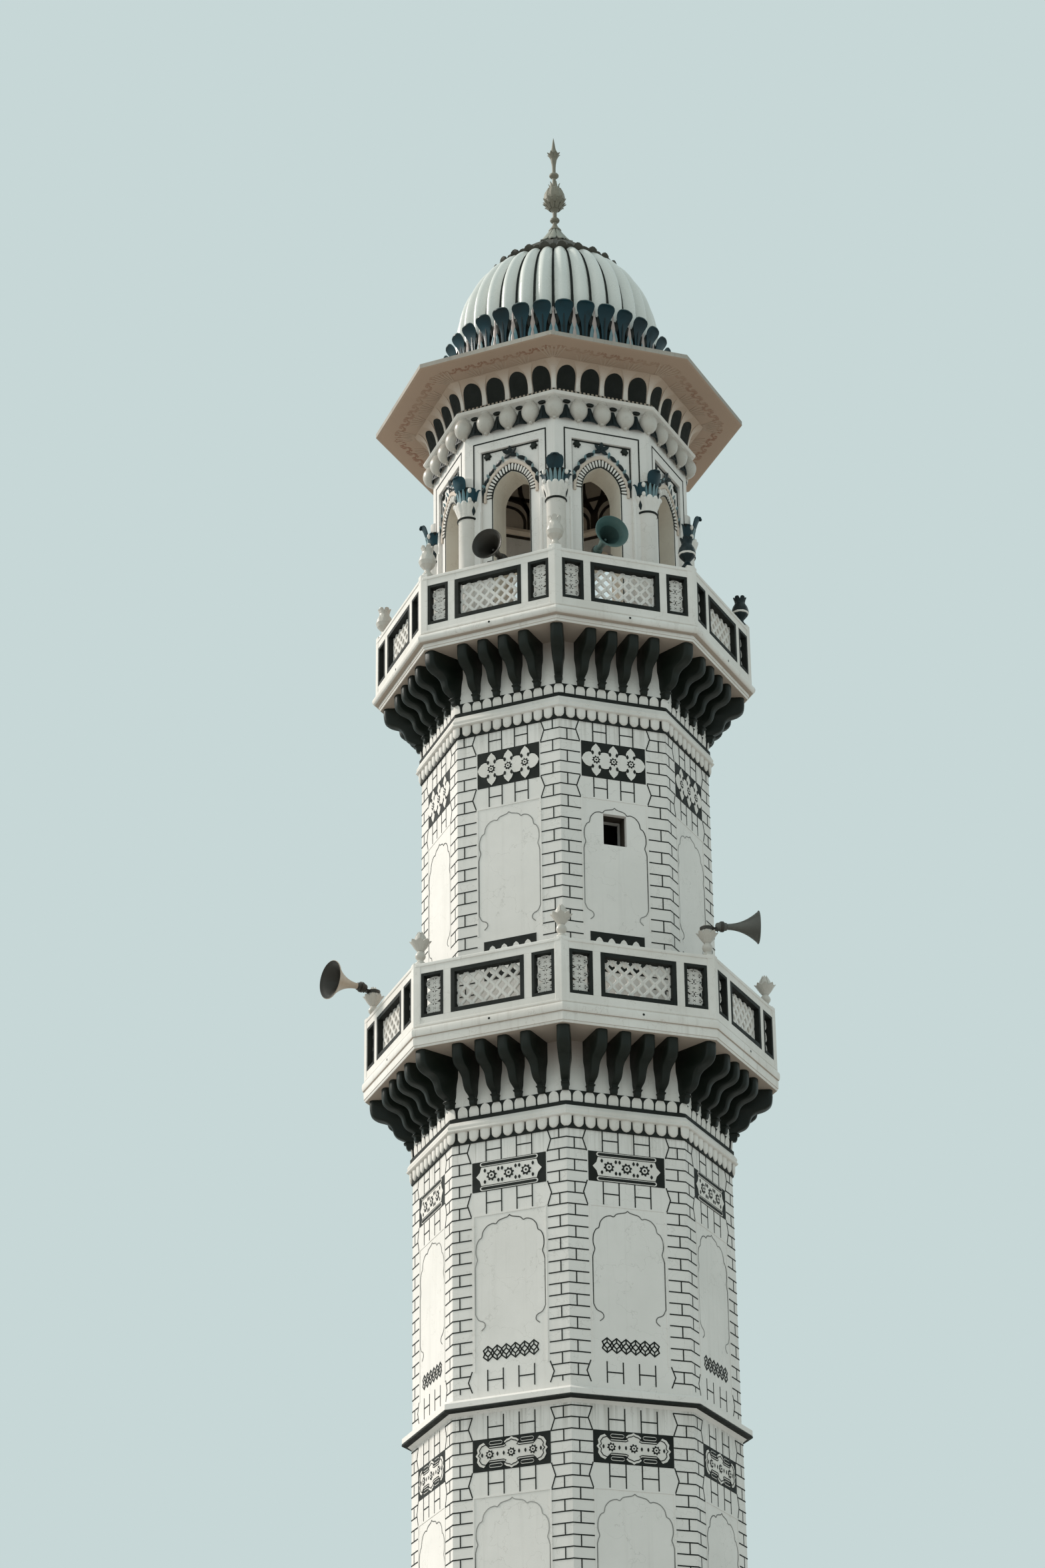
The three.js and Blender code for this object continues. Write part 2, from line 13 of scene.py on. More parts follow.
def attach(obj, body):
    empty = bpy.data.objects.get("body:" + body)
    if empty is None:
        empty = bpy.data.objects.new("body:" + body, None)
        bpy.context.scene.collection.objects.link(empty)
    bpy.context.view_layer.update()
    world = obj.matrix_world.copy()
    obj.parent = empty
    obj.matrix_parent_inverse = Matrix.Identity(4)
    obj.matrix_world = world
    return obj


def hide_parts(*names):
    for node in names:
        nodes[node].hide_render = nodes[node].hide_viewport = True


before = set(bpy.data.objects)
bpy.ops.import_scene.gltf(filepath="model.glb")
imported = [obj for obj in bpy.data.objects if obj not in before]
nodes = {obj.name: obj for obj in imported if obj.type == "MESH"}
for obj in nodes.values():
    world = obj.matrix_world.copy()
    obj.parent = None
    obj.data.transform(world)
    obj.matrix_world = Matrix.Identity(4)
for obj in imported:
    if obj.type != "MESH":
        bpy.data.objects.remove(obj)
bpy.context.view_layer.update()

TINY = 1e-5
FLAT = math.cos(math.pi / 8)  # distance to a flat side for a corner radius of 1
HALF = math.sin(math.pi / 8)  # half a flat side for a corner radius of 1


def turn(bearing):
    """A turn about the tower's axis: bearing 0 is the front and 90 the right, in degrees."""
    return Matrix.Rotation(math.radians(bearing), 4, "Z")


def shift(x, y, z):
    """A plain move."""
    return Matrix.Translation((x, y, z))


def lean(degrees):
    """A turn in the plane of the front, to the right."""
    return Matrix.Rotation(math.radians(degrees), 4, "Y")


def ring_of(count, offset=0.0):
    """Turns to even places round the axis, all offset by a part of one step."""
    return [turn((k + offset) * 360 / count) for k in range(count)]


SIDES = ring_of(8)
CORNERS = ring_of(8, 0.5)
LAID = Matrix.Rotation(math.pi / 2, 4, "X")  # lays a piece of the front flat, facing down


# ---- Ways of making pieces


def start():
    """Leaves edit mode and drops the selection."""
    if bpy.context.mode != "OBJECT":
        bpy.ops.object.mode_set(mode="OBJECT")
    bpy.ops.object.select_all(action="DESELECT")


def take(obj):
    """Selects one piece alone and takes it in hand."""
    start()
    obj.select_set(True)
    bpy.context.view_layer.objects.active = obj


def edit(obj):
    """Opens a piece with all of its corners selected."""
    take(obj)
    bpy.ops.object.mode_set(mode="EDIT")
    bpy.ops.mesh.select_mode(type="VERT")
    bpy.ops.mesh.select_all(action="SELECT")


def pick(obj, wanted):
    """Selects the corners of the shape in hand by their place."""
    bpy.ops.mesh.select_all(action="DESELECT")
    bpy.ops.object.mode_set(mode="OBJECT")
    for corner in obj.data.vertices:
        corner.select = wanted(corner.co)
    bpy.ops.object.mode_set(mode="EDIT")


def pick_edges(obj, wanted):
    """Selects edges of the shape in hand by the places of their two ends."""
    bpy.ops.mesh.select_mode(type="EDGE")
    bpy.ops.mesh.select_all(action="DESELECT")
    bpy.ops.object.mode_set(mode="OBJECT")
    for edge in obj.data.edges:
        first, last = (obj.data.vertices[i].co for i in edge.vertices)
        edge.select = wanted(first, last)
    bpy.ops.object.mode_set(mode="EDIT")


def settle(obj):
    """Puts a new primitive's place, turn and size into its mesh."""
    bpy.ops.object.transform_apply(location=True, rotation=True, scale=True)
    return obj


def close_up(obj):
    """Ends the edit of a shape with its doubles merged and its faces turned outwards."""
    bpy.ops.mesh.select_mode(type="VERT")
    bpy.ops.mesh.select_all(action="SELECT")
    bpy.ops.mesh.remove_doubles(threshold=TINY * 3)
    bpy.ops.mesh.normals_make_consistent(inside=False)
    bpy.ops.object.mode_set(mode="OBJECT")
    return obj


def modify(obj, kind, **settings):
    """Adds a modifier to a piece and applies it."""
    take(obj)
    modifier = obj.modifiers.new(kind, kind)
    for key, value in settings.items():
        setattr(modifier, key, value)
    bpy.ops.object.modifier_apply(modifier=modifier.name)
    return obj


def bevelled(obj, width, segments=2):
    """Eases the sharp edges of a piece."""
    return modify(obj, "BEVEL", width=width, segments=segments, limit_method="ANGLE", angle_limit=0.6)


def smoothed(obj, degrees=40):
    """Shades a piece smoothly across all edges flatter than this angle."""
    take(obj)
    bpy.ops.object.shade_smooth_by_angle(angle=math.radians(degrees))
    return obj


def turned_form(profile, sides, loop=False):
    """A form turned about the axis: a circle at the first [radius, height], drawn up through the rest.

    Eight sides give the tower's octagon. With loop, the profile is a closed section, as of a ring.
    """
    start()
    radius, height = profile[0]
    radius = max(radius, TINY)
    angle = math.pi / 8 if sides == 8 else 0
    bpy.ops.mesh.primitive_circle_add(
        vertices=sides, radius=radius, location=(0, 0, height), rotation=(0, 0, angle)
    )
    obj = settle(bpy.context.object)
    edit(obj)
    for next_radius, next_height in profile[1:]:
        next_radius = max(next_radius, TINY)
        bpy.ops.mesh.extrude_region_move(TRANSFORM_OT_translate={"value": (0, 0, next_height - height)})
        grow = next_radius / radius
        bpy.ops.transform.resize(value=(grow, grow, 1), center_override=(0, 0, 0))
        radius, height = next_radius, next_height
    if loop:
        bpy.ops.mesh.select_mode(type="EDGE")
        bpy.ops.mesh.select_all(action="DESELECT")
        bpy.ops.mesh.select_non_manifold()
        bpy.ops.mesh.bridge_edge_loops()
    else:
        bpy.ops.mesh.select_all(action="SELECT")
        bpy.ops.mesh.remove_doubles(threshold=TINY * 3)
        bpy.ops.mesh.fill_holes(sides=0)
    return close_up(obj)


def traced(corners, depth):
    """A flat shape drawn corner by corner from one point, filled, and pulled out to its depth."""
    start()
    bpy.ops.mesh.primitive_plane_add(size=TINY, location=corners[0])
    obj = settle(bpy.context.object)
    edit(obj)
    bpy.ops.mesh.merge(type="CENTER")
    here = Vector(corners[0])
    for corner in corners[1:] + corners[:1]:
        there = Vector(corner)
        bpy.ops.mesh.extrude_region_move(TRANSFORM_OT_translate={"value": there - here})
        here = there
    bpy.ops.mesh.select_all(action="SELECT")
    bpy.ops.mesh.remove_doubles(threshold=TINY * 3)
    bpy.ops.mesh.edge_face_add()
    bpy.ops.mesh.extrude_region_move(TRANSFORM_OT_translate={"value": depth})
    return close_up(obj)


def plate(outline, out, thick):
    """A flat plate on the front, from an outline of [across, height], thick inwards from its face."""
    return traced([(x, -out, z) for x, z in outline], (0, thick, 0))


def prism(plan, bottom, top):
    """An upright prism from a plan of [x, y]."""
    return traced([(x, y, bottom) for x, y in plan], (0, 0, top - bottom))


def bar(left, right, bottom, top, out, thick, soft=0.0):
    """A squared bar on the front, its edges eased by soft."""
    start()
    bpy.ops.mesh.primitive_cube_add(
        size=1,
        location=((left + right) / 2, thick / 2 - out, (bottom + top) / 2),
        scale=(right - left, thick, top - bottom),
    )
    obj = settle(bpy.context.object)
    return bevelled(obj, soft) if soft else obj


def strips(lines, wide, out, proud):
    """Straight strips that stand proud of the front, each from one [across, height] to another."""
    start()
    for i, ((x0, z0), (x1, z1)) in enumerate(lines):
        # Level, upright and slanting strips differ in thickness, so no two that cross share a face.
        coats = 2.0 if z0 == z1 else 1.85 if x0 == x1 else 1.7
        bpy.ops.mesh.primitive_cube_add(
            size=1,
            location=((x0 + x1) / 2, -out, (z0 + z1) / 2),
            rotation=(0, -math.atan2(z1 - z0, x1 - x0), 0),
            scale=(math.hypot(x1 - x0, z1 - z0) + wide / 2, proud * coats, wide),
        )
        if i == 0:
            settle(bpy.context.object)
            bpy.ops.object.mode_set(mode="EDIT")
    bpy.ops.object.mode_set(mode="OBJECT")
    return bpy.context.object


def leaf(rows, across=4, cup=0.0, thick=0.012):
    """A leaf on the front, drawn up row by row: [height, half width, distance out].

    cup is how far its sides bend back, as a part of the half width.
    """
    height, half, out = rows[0]
    start()
    bpy.ops.mesh.primitive_grid_add(
        x_subdivisions=across,
        y_subdivisions=1,
        size=2 * half,
        location=(0, -out, height + half),
        rotation=(math.pi / 2, 0, 0),
    )
    obj = settle(bpy.context.object)
    edit(obj)
    pick(obj, lambda corner: corner.z > height + half)
    bpy.ops.mesh.delete(type="VERT")
    for step in range(1, across // 2 + 1) if cup else ():
        side = 2 * step / across
        pick(obj, lambda corner: abs(abs(corner.x) - side * half) < TINY)
        bpy.ops.transform.translate(value=(0, cup * half * side * side, 0))
    bpy.ops.mesh.select_all(action="SELECT")
    for next_height, next_half, next_out in rows[1:]:
        bpy.ops.mesh.extrude_region_move(
            TRANSFORM_OT_translate={"value": (0, out - next_out, next_height - height)}
        )
        grow = next_half / half
        bpy.ops.transform.resize(value=(grow, grow, 1), center_override=(0, -next_out, next_height))
        height, half, out = next_height, next_half, next_out
    bpy.ops.mesh.select_all(action="SELECT")
    bpy.ops.mesh.normals_make_consistent(inside=False)
    bpy.ops.object.mode_set(mode="OBJECT")
    if sum(face.normal.y * face.area for face in obj.data.polygons) > 0:
        obj.data.flip_normals()
    return modify(obj, "SOLIDIFY", thickness=thick, offset=-1.0) if thick else obj


def joined(pieces):
    """Joins pieces into one."""
    start()
    for piece in pieces:
        piece.select_set(True)
    bpy.context.view_layer.objects.active = pieces[0]
    if len(pieces) > 1:
        bpy.ops.object.join()
    return bpy.context.object


def moved(obj, move):
    """Moves the mesh of a piece and leaves its origin on the tower's axis."""
    obj.data.transform(move)
    return obj


def copies(obj, moves):
    """Copies of a piece, each with its own mesh, joined into one object in place of the first."""
    made = []
    for move in moves:
        twin = obj.copy()
        twin.data = obj.data.copy()
        bpy.context.scene.collection.objects.link(twin)
        made.append(moved(twin, move))
    bpy.data.objects.remove(obj)
    return joined(made)


def painted(obj, finish):
    """Gives a piece one finish."""
    obj.data.materials.clear()
    obj.data.materials.append(finish)
    return obj


def place(obj, name, stands_for=()):
    """Names a finished piece, hands it to the tower's one body and hides the parts it stands for."""
    obj.name = name
    obj.data.name = name
    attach(obj, "root")
    if stands_for:
        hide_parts(*stands_for)
    return obj


def scatter(obj, moves, finish, name, stands_for=()):
    """Paints a piece and places a copy of it at each of the moves."""
    return place(copies(painted(obj, finish), moves), name, stands_for)


def all_round(obj, finish, name, stands_for=()):
    """Paints a piece of the front and places it on all eight sides."""
    return scatter(obj, SIDES, finish, name, stands_for)


def octagon_ring(sections, finish, name, stands_for=()):
    """Paints and places a ring that follows the tower's eight sides."""
    return place(painted(turned_form(sections, 8, True), finish), name, stands_for)


def foliage(rows, moves, finish, name, slot, **form):
    """Paints and places one leaf at each of the moves."""
    return place(painted(smoothed(copies(leaf(rows, **form), moves)), finish), name)


def curve_through(points, steps):
    """More points along a smooth line through the points given."""
    made = []
    for i in range(len(points) - 1):
        before, after = points[max(i - 1, 0)], points[min(i + 2, len(points) - 1)]
        near = list(zip(before, points[i], points[i + 1], after))
        for k in range(steps):
            t = k / steps
            made.append(
                tuple(
                    b + 0.5 * t * (c - a + t * (2 * a - 5 * b + 4 * c - d + t * (3 * b - a - 3 * c + d)))
                    for a, b, c, d in near
                )
            )
    return made + [tuple(points[-1])]


def ribbon(path, wide):
    """The outline of a band of even width along a path."""
    left, right = [], []
    for i, (x, z) in enumerate(path):
        x0, z0 = path[max(i - 1, 0)]
        x1, z1 = path[min(i + 1, len(path) - 1)]
        size = math.hypot(x1 - x0, z1 - z0) or TINY
        dx, dz = (x1 - x0) / size * wide / 2, (z1 - z0) / size * wide / 2
        left.append((x - dz, z + dx))
        right.append((x + dz, z - dx))
    return left + right[::-1]


def strand(path, wide, out, thick):
    """A flat band of even width along a path."""
    return plate(ribbon(path, wide), out, thick)


def box_outline(left, bottom, right, top):
    """A squared outline; also the section of a plain ring, from its inner to its outer radius."""
    return [(left, bottom), (right, bottom), (right, top), (left, top)]


def doorway(half, low, high):
    """Lines up one side, over the head and down the other side."""
    return [((-half, low), (-half, high)), ((-half, high), (half, high)), ((half, high), (half, low))]


def disc(x, z, radius, corners=12, flat=1.0):
    """A round outline, its height a part of its width where flat is less than 1."""
    step = 2 * math.pi / corners
    return [(x + radius * math.cos(i * step), z + flat * radius * math.sin(i * step)) for i in range(corners)]


def gear(x, z, radius):
    """The outline of a disc with eight square teeth, four corners to each."""
    points = []
    corners = 8 * 4
    for i in range(corners):
        reach = radius if i % 4 in (0, 1) else radius * 0.76
        angle = 2 * math.pi * (i + 0.5) / corners
        points.append((x + reach * math.cos(angle), z + reach * math.sin(angle)))
    return points


def lens(x, z, wide, high):
    """A small leaf outline, pointed at its top and bottom."""
    right = []
    for t in (-1, -1 / 3, 1 / 3, 1):
        right.append((x + wide * (1 - abs(t) ** 1.7), z + high * t))
    left = [(2 * x - u, v) for u, v in right[1:-1]]
    return right + left[::-1]


def four_ways(quarter, middle):
    """A whole outline from its part between the right-hand end and the top, at a height."""
    upper = quarter + [(-u, v) for u, v in reversed(quarter) if u > TINY]
    lower = [(u, -v) for u, v in reversed(upper) if v > TINY]
    return [(u, middle + v) for u, v in upper + lower]


def both_sides(half, x=0.0, z=0.0, way=0.0):
    """A whole outline from its right half, from bottom to top, stood at a place and leaning by way."""
    whole = half + [(-u, v) for u, v in reversed(half) if u > TINY]
    c, s = math.cos(way), math.sin(way)
    return [(x + c * u + s * v, z - s * u + c * v) for u, v in whole]


# ---- Finishes


def node(tree, kind, inputs=None, **settings):
    """Adds a node with its inputs, each linked or set to a value."""
    made = tree.nodes.new("ShaderNode" + kind)
    for key, value in settings.items():
        setattr(made, key, value)
    for key, value in (inputs or {}).items():
        if isinstance(value, bpy.types.NodeSocket):
            tree.links.new(value, made.inputs[key])
        else:
            made.inputs[key].default_value = value
    return made


def speckle(tree, spot, scale, detail=4.0, rough=0.55, stretch=(1, 1, 1)):
    """Cloudy noise from 0 to 1, drawn out along an axis where stretch is small."""
    where = node(tree, "Mapping", {"Vector": spot, "Scale": stretch}).outputs["Vector"]
    settings = {"Vector": where, "Scale": scale, "Detail": detail, "Roughness": rough}
    return node(tree, "TexNoise", settings).outputs["Fac"]


def ramp(tree, value, low, high, bottom=0.0, top=1.0):
    """A value spread from one range over another."""
    settings = {"Value": value, "From Min": low, "From Max": high, "To Min": bottom, "To Max": top}
    return node(tree, "MapRange", settings).outputs["Result"]


def maths(tree, operation, first, second):
    """Two values worked together."""
    return node(tree, "Math", {0: first, 1: second}, operation=operation).outputs[0]


def blend(tree, amount, first, second):
    """A colour between two others."""
    made = tree.nodes.new("ShaderNodeMix")
    made.data_type = "RGBA"
    for index, value in ((0, amount), (6, first), (7, second)):  # the sockets that take part for colours
        if isinstance(value, bpy.types.NodeSocket):
            tree.links.new(value, made.inputs[index])
        else:
            made.inputs[index].default_value = (*value, 1) if index else value
    return made.outputs[2]


def begin_finish(name):
    """A new finish with its node tree, its shader and the place it is asked about."""
    finish = bpy.data.materials.new(name)
    finish.use_nodes = True
    tree = finish.node_tree
    spot = node(tree, "TexCoord").outputs["Object"]
    return finish, tree, tree.nodes["Principled BSDF"], spot


def end_finish(tree, shader, colour, rough, height, strength):
    """Links colour, roughness and a shallow relief to the shader."""
    tree.links.new(colour, shader.inputs["Base Color"])
    tree.links.new(rough, shader.inputs["Roughness"])
    bump = node(tree, "Bump", {"Height": height, "Strength": strength, "Distance": 0.01})
    tree.links.new(bump.outputs["Normal"], shader.inputs["Normal"])


LEDGES = (5.14, 9.82, 14.50, 18.28, 24.43)  # heights that rain drips from
DRIP = 0.55  # how far down the drips run
LOWER_FEET = 18.78  # height of the lower corbels' feet
STOREY = 6.16  # from there up to the upper corbels' feet


def plaster(name, clean, aged, run, runs=0.3, under=None, drips=False, rising=None):
    """Painted plaster: broad uneven patches, hairline cracks, rain runs, a fine trowelled grain.

    under is the colour of what faces down, such as a soffit: partly the plaster's own tint, and partly
    painted shade and painted warm light thrown up from the ground.
    drips adds darker runs below the ledges of the shaft. rising is another colour that the plaster
    takes on with height: (colour, from, to), counted afresh from the feet of each row of corbels.
    """
    finish, tree, shader, spot = begin_finish(name)
    patches = ramp(tree, speckle(tree, spot, 0.7, 8, 0.62), 0.40, 0.66)
    blotches = ramp(tree, speckle(tree, spot, 5.0, 5, 0.65), 0.50, 0.80, 0, 0.6)
    colour = blend(tree, patches, clean, aged)
    colour = blend(tree, blotches, colour, aged)
    if rising:
        other, low, high = rising
        height = node(tree, "SeparateXYZ", {"Vector": spot}).outputs["Z"]
        height = maths(tree, "MODULO", maths(tree, "SUBTRACT", height, LOWER_FEET), STOREY)
        colour = blend(tree, ramp(tree, height, low, high), colour, other)
    amount = ramp(tree, speckle(tree, spot, 2.6, 9, 0.64, (3.5, 3.5, 0.14)), 0.54, 0.80, 0, runs)
    if drips:
        height = node(tree, "SeparateXYZ", {"Vector": spot}).outputs["Z"]
        fine = ramp(tree, speckle(tree, spot, 6.0, 8, 0.66, (3.0, 3.0, 0.10)), 0.46, 0.72, 0, 0.75)
        below = None
        for ledge in LEDGES:
            rise = ramp(tree, height, ledge - DRIP, ledge)
            here = maths(tree, "MULTIPLY", rise, maths(tree, "LESS_THAN", height, ledge))
            below = here if below is None else maths(tree, "MAXIMUM", below, here)
        amount = maths(tree, "MAXIMUM", amount, maths(tree, "MULTIPLY", below, fine))
    colour = blend(tree, amount, colour, run)
    wander = node(tree, "TexNoise", {"Vector": spot, "Scale": 3.0, "Detail": 4.0})
    bent = node(tree, "VectorMath", {0: spot, 1: wander.outputs["Color"]}, operation="ADD")
    cracks = node(
        tree, "TexVoronoi", {"Vector": bent.outputs["Vector"], "Scale": 1.3}, feature="DISTANCE_TO_EDGE"
    )
    hairline = ramp(tree, cracks.outputs["Distance"], 0.003, 0.008, 0.22, 0.0)
    colour = blend(tree, hairline, colour, run)
    # Faces that point down blend to the under colour: partly tint, partly painted shade and painted bounce
    # light.
    if under:
        facing = node(tree, "SeparateXYZ", {"Vector": node(tree, "NewGeometry").outputs["Normal"]})
        below = ramp(tree, facing.outputs["Z"], -0.80, -0.97)
        colour = blend(tree, below, colour, under)
    grain = speckle(tree, spot, 55.0, 6, 0.7)
    trowel = speckle(tree, spot, 6.0, 3, 0.5)
    rough = ramp(tree, grain, 0.3, 0.7, 0.72, 0.92)
    end_finish(tree, shader, colour, rough, maths(tree, "ADD", grain, trowel), 0.22)
    return finish


def paint(name, main, worn, gloss=0.45, wear=0.35, shine=0.5, scale=9.0, metal=0.0):
    """Brushed-on paint over plaster or metal, thinner and duller in patches."""
    finish, tree, shader, spot = begin_finish(name)
    thin = ramp(tree, speckle(tree, spot, scale, 8, 0.7), 0.54, 0.74, 0, wear)
    tone = ramp(tree, speckle(tree, spot, scale / 5, 3, 0.5), 0.35, 0.65, 0, wear)
    colour = blend(tree, tone, main, worn)
    colour = blend(tree, thin, colour, worn)
    brush = speckle(tree, spot, 60.0, 5, 0.6)
    rough = ramp(tree, speckle(tree, spot, scale, 5, 0.6), 0.3, 0.7, gloss - 0.06, gloss + 0.2)
    end_finish(tree, shader, colour, rough, brush, 0.12)
    shader.inputs["Metallic"].default_value = metal
    shader.inputs["Specular IOR Level"].default_value = shine
    return finish


# Plasters: name, clean, aged and run colours, how strong the runs are, and the colour facing down, partly
# painted shade
WHITE = plaster(
    "white plaster", (0.80, 0.755, 0.715), (0.74, 0.70, 0.66), (0.30, 0.27, 0.23), 0.16, drips=True
)
TRIM = plaster("white moulding", (0.79, 0.745, 0.70), (0.69, 0.645, 0.595), (0.36, 0.31, 0.26), 0.2)
# Its faces that point down are browner and darker: partly the plaster's tint, partly painted shade.
EDGE = plaster(
    "balcony edge", (0.80, 0.76, 0.715), (0.70, 0.65, 0.60), (0.27, 0.20, 0.15), 0.36, (0.42, 0.34, 0.28)
)
# Behind the corbels the plaster darkens and warms towards the slab above: painted shade under the overhang.
SHADED_NICHE_WALL = plaster(
    "wall behind the corbels with painted shade", (0.82, 0.79, 0.75), (0.76, 0.72, 0.67), (0.40, 0.32, 0.27),
    rising=((0.50, 0.41, 0.36), 0.22, 0.62),
)
# The eave's underside is pinker than its rim: partly its own tint, partly painted warm light thrown up from
# the ground.
SOFFIT = plaster(
    "eave plaster", (0.42, 0.38, 0.33), (0.33, 0.29, 0.25), (0.12, 0.10, 0.08), 0.6, (0.46, 0.325, 0.24)
)
DENTIL = plaster("dentil plaster", (0.43, 0.36, 0.29), (0.34, 0.265, 0.205), (0.25, 0.17, 0.125), 0.35)
# The arch reveal is darker and warmer than the walls: painted shade on the inside of the opening.
REVEAL = plaster("arch reveal", (0.72, 0.66, 0.57), (0.64, 0.57, 0.48), (0.42, 0.34, 0.27), 0.3)
# The lantern's inside is beige and darker than its outside: partly its own colour, partly painted shade.
INSIDE = plaster("lantern inside", (0.56, 0.49, 0.41), (0.47, 0.40, 0.33), (0.30, 0.24, 0.19), 0.3)
INSIDE_TRIM = plaster("pale inside moulding", (0.90, 0.78, 0.66), (0.84, 0.71, 0.59), (0.55, 0.44, 0.35), 0.2)
ARCH_BAND = plaster("arch band plaster", (0.64, 0.54, 0.46), (0.56, 0.46, 0.38), (0.40, 0.31, 0.24), 0.3)
FAN = plaster("soffit fan plaster", (0.50, 0.37, 0.28), (0.44, 0.32, 0.24), (0.32, 0.22, 0.16), 0.3)
COVE_PLASTER = plaster(
    "cove face plaster", (0.70, 0.60, 0.51), (0.60, 0.50, 0.42), (0.36, 0.26, 0.19),
    rising=((0.50, 0.37, 0.28), 5.08, 5.34),
)
COVE_RIB = plaster(
    "cove rib plaster", (0.80, 0.75, 0.69), (0.72, 0.66, 0.60), (0.40, 0.32, 0.26), 0.2,
    rising=((0.52, 0.39, 0.30), 5.06, 5.34),
)

# Paints: name, main and worn colours, gloss, wear, shine, scale of the patches, and metal
BLACK = paint("black line paint", (0.010, 0.012, 0.010), (0.030, 0.033, 0.029), 0.6, 0.3, 0.2)
ARCH_INK = paint("faded arch line paint", (0.012, 0.014, 0.012), (0.56, 0.54, 0.51), 0.6, 0.62, 0.2, 3.6)
# Painted shade inside the small window, so that its opening is dark.
WINDOW_PAINTED_SHADE = paint("painted shade in the window", (0.060, 0.048, 0.038), (0.10, 0.085, 0.068), 0.8, 0.5, 0.1)
CORBEL = paint("dark corbel paint", (0.008, 0.011, 0.008), (0.018, 0.022, 0.017), 0.36, 0.4, 0.22, 4.0)
BROWN = paint("dark rib paint", (0.030, 0.022, 0.016), (0.05, 0.038, 0.028), 0.55, 0.4, 0.3)
ROSE = paint("faded vine paint", (0.32, 0.17, 0.115), (0.43, 0.30, 0.22), 0.7, 0.9, 0.2, 6.0)
TEAL = paint("teal paint", (0.003, 0.040, 0.058), (0.005, 0.012, 0.014), 0.32, 0.8, 0.3, 5.0)
DARK_TEAL = paint("dark teal paint", (0.004, 0.014, 0.017), (0.008, 0.010, 0.009), 0.34, 0.6, 0.28, 5.0)
PALE_TEAL = paint("pale teal paint", (0.10, 0.20, 0.23), (0.30, 0.32, 0.30), 0.42, 0.5, 0.4, 5.0)
# The leaves' rolled lips are paler than the teal below them: a painted highlight where they catch the sky.
LIP_HIGHLIGHT = paint("leaf lip paint with painted highlight", (0.20, 0.22, 0.20), (0.05, 0.08, 0.085), 0.4, 0.7, 0.4, 5.0)
SPEAR = paint("pale spear paint", (0.44, 0.36, 0.33), (0.32, 0.26, 0.24), 0.4, 0.5, 0.4, 7.0)
DOME = paint("glossy dome paint", (0.70, 0.70, 0.66), (0.60, 0.60, 0.56), 0.22, 0.35, 0.6, 6.0)
BUD_WHITE = paint("glossy bud paint", (0.58, 0.54, 0.49), (0.42, 0.38, 0.33), 0.26, 0.5, 0.5, 7.0)
FINIAL = paint("finial paint", (0.25, 0.225, 0.175), (0.12, 0.108, 0.08), 0.5, 0.6, 0.35, 8.0)
LOTUS = paint("lotus petal paint", (0.026, 0.026, 0.021), (0.14, 0.125, 0.10), 0.55, 0.45, 0.2, 6.0)
LOTUS_PALE = paint("lotus crown paint", (0.33, 0.33, 0.28), (0.17, 0.165, 0.135), 0.5, 0.6, 0.4, 6.0)
HORN_DARK = paint("dark horn paint", (0.030, 0.027, 0.022), (0.065, 0.055, 0.045), 0.34, 0.5, 0.4, 9.0, 0.2)
HORN_TEAL = paint("teal horn paint", (0.045, 0.105, 0.100), (0.115, 0.165, 0.150), 0.4, 0.7, 0.4, 9.0, 0.1)
# A darker teal for deep inside the bell: painted shade.
HORN_THROAT_SHADE = paint(
    "teal horn paint darkened as painted shade", (0.020, 0.052, 0.050), (0.060, 0.095, 0.085), 0.4, 0.7, 0.4, 9.0, 0.1
)
HORN_CREAM = paint("cream horn paint", (0.46, 0.38, 0.30), (0.32, 0.25, 0.19), 0.36, 0.6, 0.4)
HORN_GREY = paint("grey horn paint", (0.085, 0.082, 0.072), (0.15, 0.145, 0.13), 0.36, 0.5, 0.4, 9.0, 0.2)


# ---- Shaft: painted block joints, panels and cusped arches

LINE = 0.016  # width of a painted line
PROUD = 0.004  # how far one coat of relief stands over the last

UPPER = {
    "name": "upper",
    "radius": 2.095,
    "bottom": 19.72,
    "top": 24.43,
    "course": 0.173,
    "edge": 0.505,
    "rows": ((24.10, 24.43), (23.23, 23.55)),
    "panel": (0.482, 23.55, 24.10),
    "recess": (0.49, 21.30, 23.23),
    "arch": (21.38, 23.10),
    "small": (20.62, 21.20),
}
MIDDLE = {
    "name": "middle",
    "radius": 2.221,
    "bottom": 14.80,
    "top": 18.28,
    "course": 0.155,
    "edge": 0.565,
    "rows": ((17.96, 18.28), (17.21, 17.54), (14.80, 15.08)),
    "panel": (0.545, 17.54, 17.96),
    "recess": (0.53, 15.08, 17.21),
    "arch": (15.62, 17.15),
    "small": (15.19, 15.41),
}


def base_tier(name, bottom, top):
    """One of the like tiers below the string course."""
    return {
        "name": name,
        "radius": 2.231,
        "bottom": bottom,
        "top": top,
        "course": 0.153,
        "edge": 0.565,
        "rows": ((top - 0.30, top), (top - 1.06, top - 0.73), (bottom + 0.02, bottom + 0.32)),
        "panel": (0.558, top - 0.73, top - 0.30),
        "recess": (0.55, bottom + 0.32, top - 1.06),
        "arch": (bottom + 0.80, top - 1.12),
        "small": (bottom + 0.43, bottom + 0.65),
    }


TIERS = [UPPER, MIDDLE] + [
    base_tier("base_high", 10.06, 14.46),
    base_tier("base_middle", 5.38, 9.82),
    base_tier("base_low", 0.62, 5.14),
]


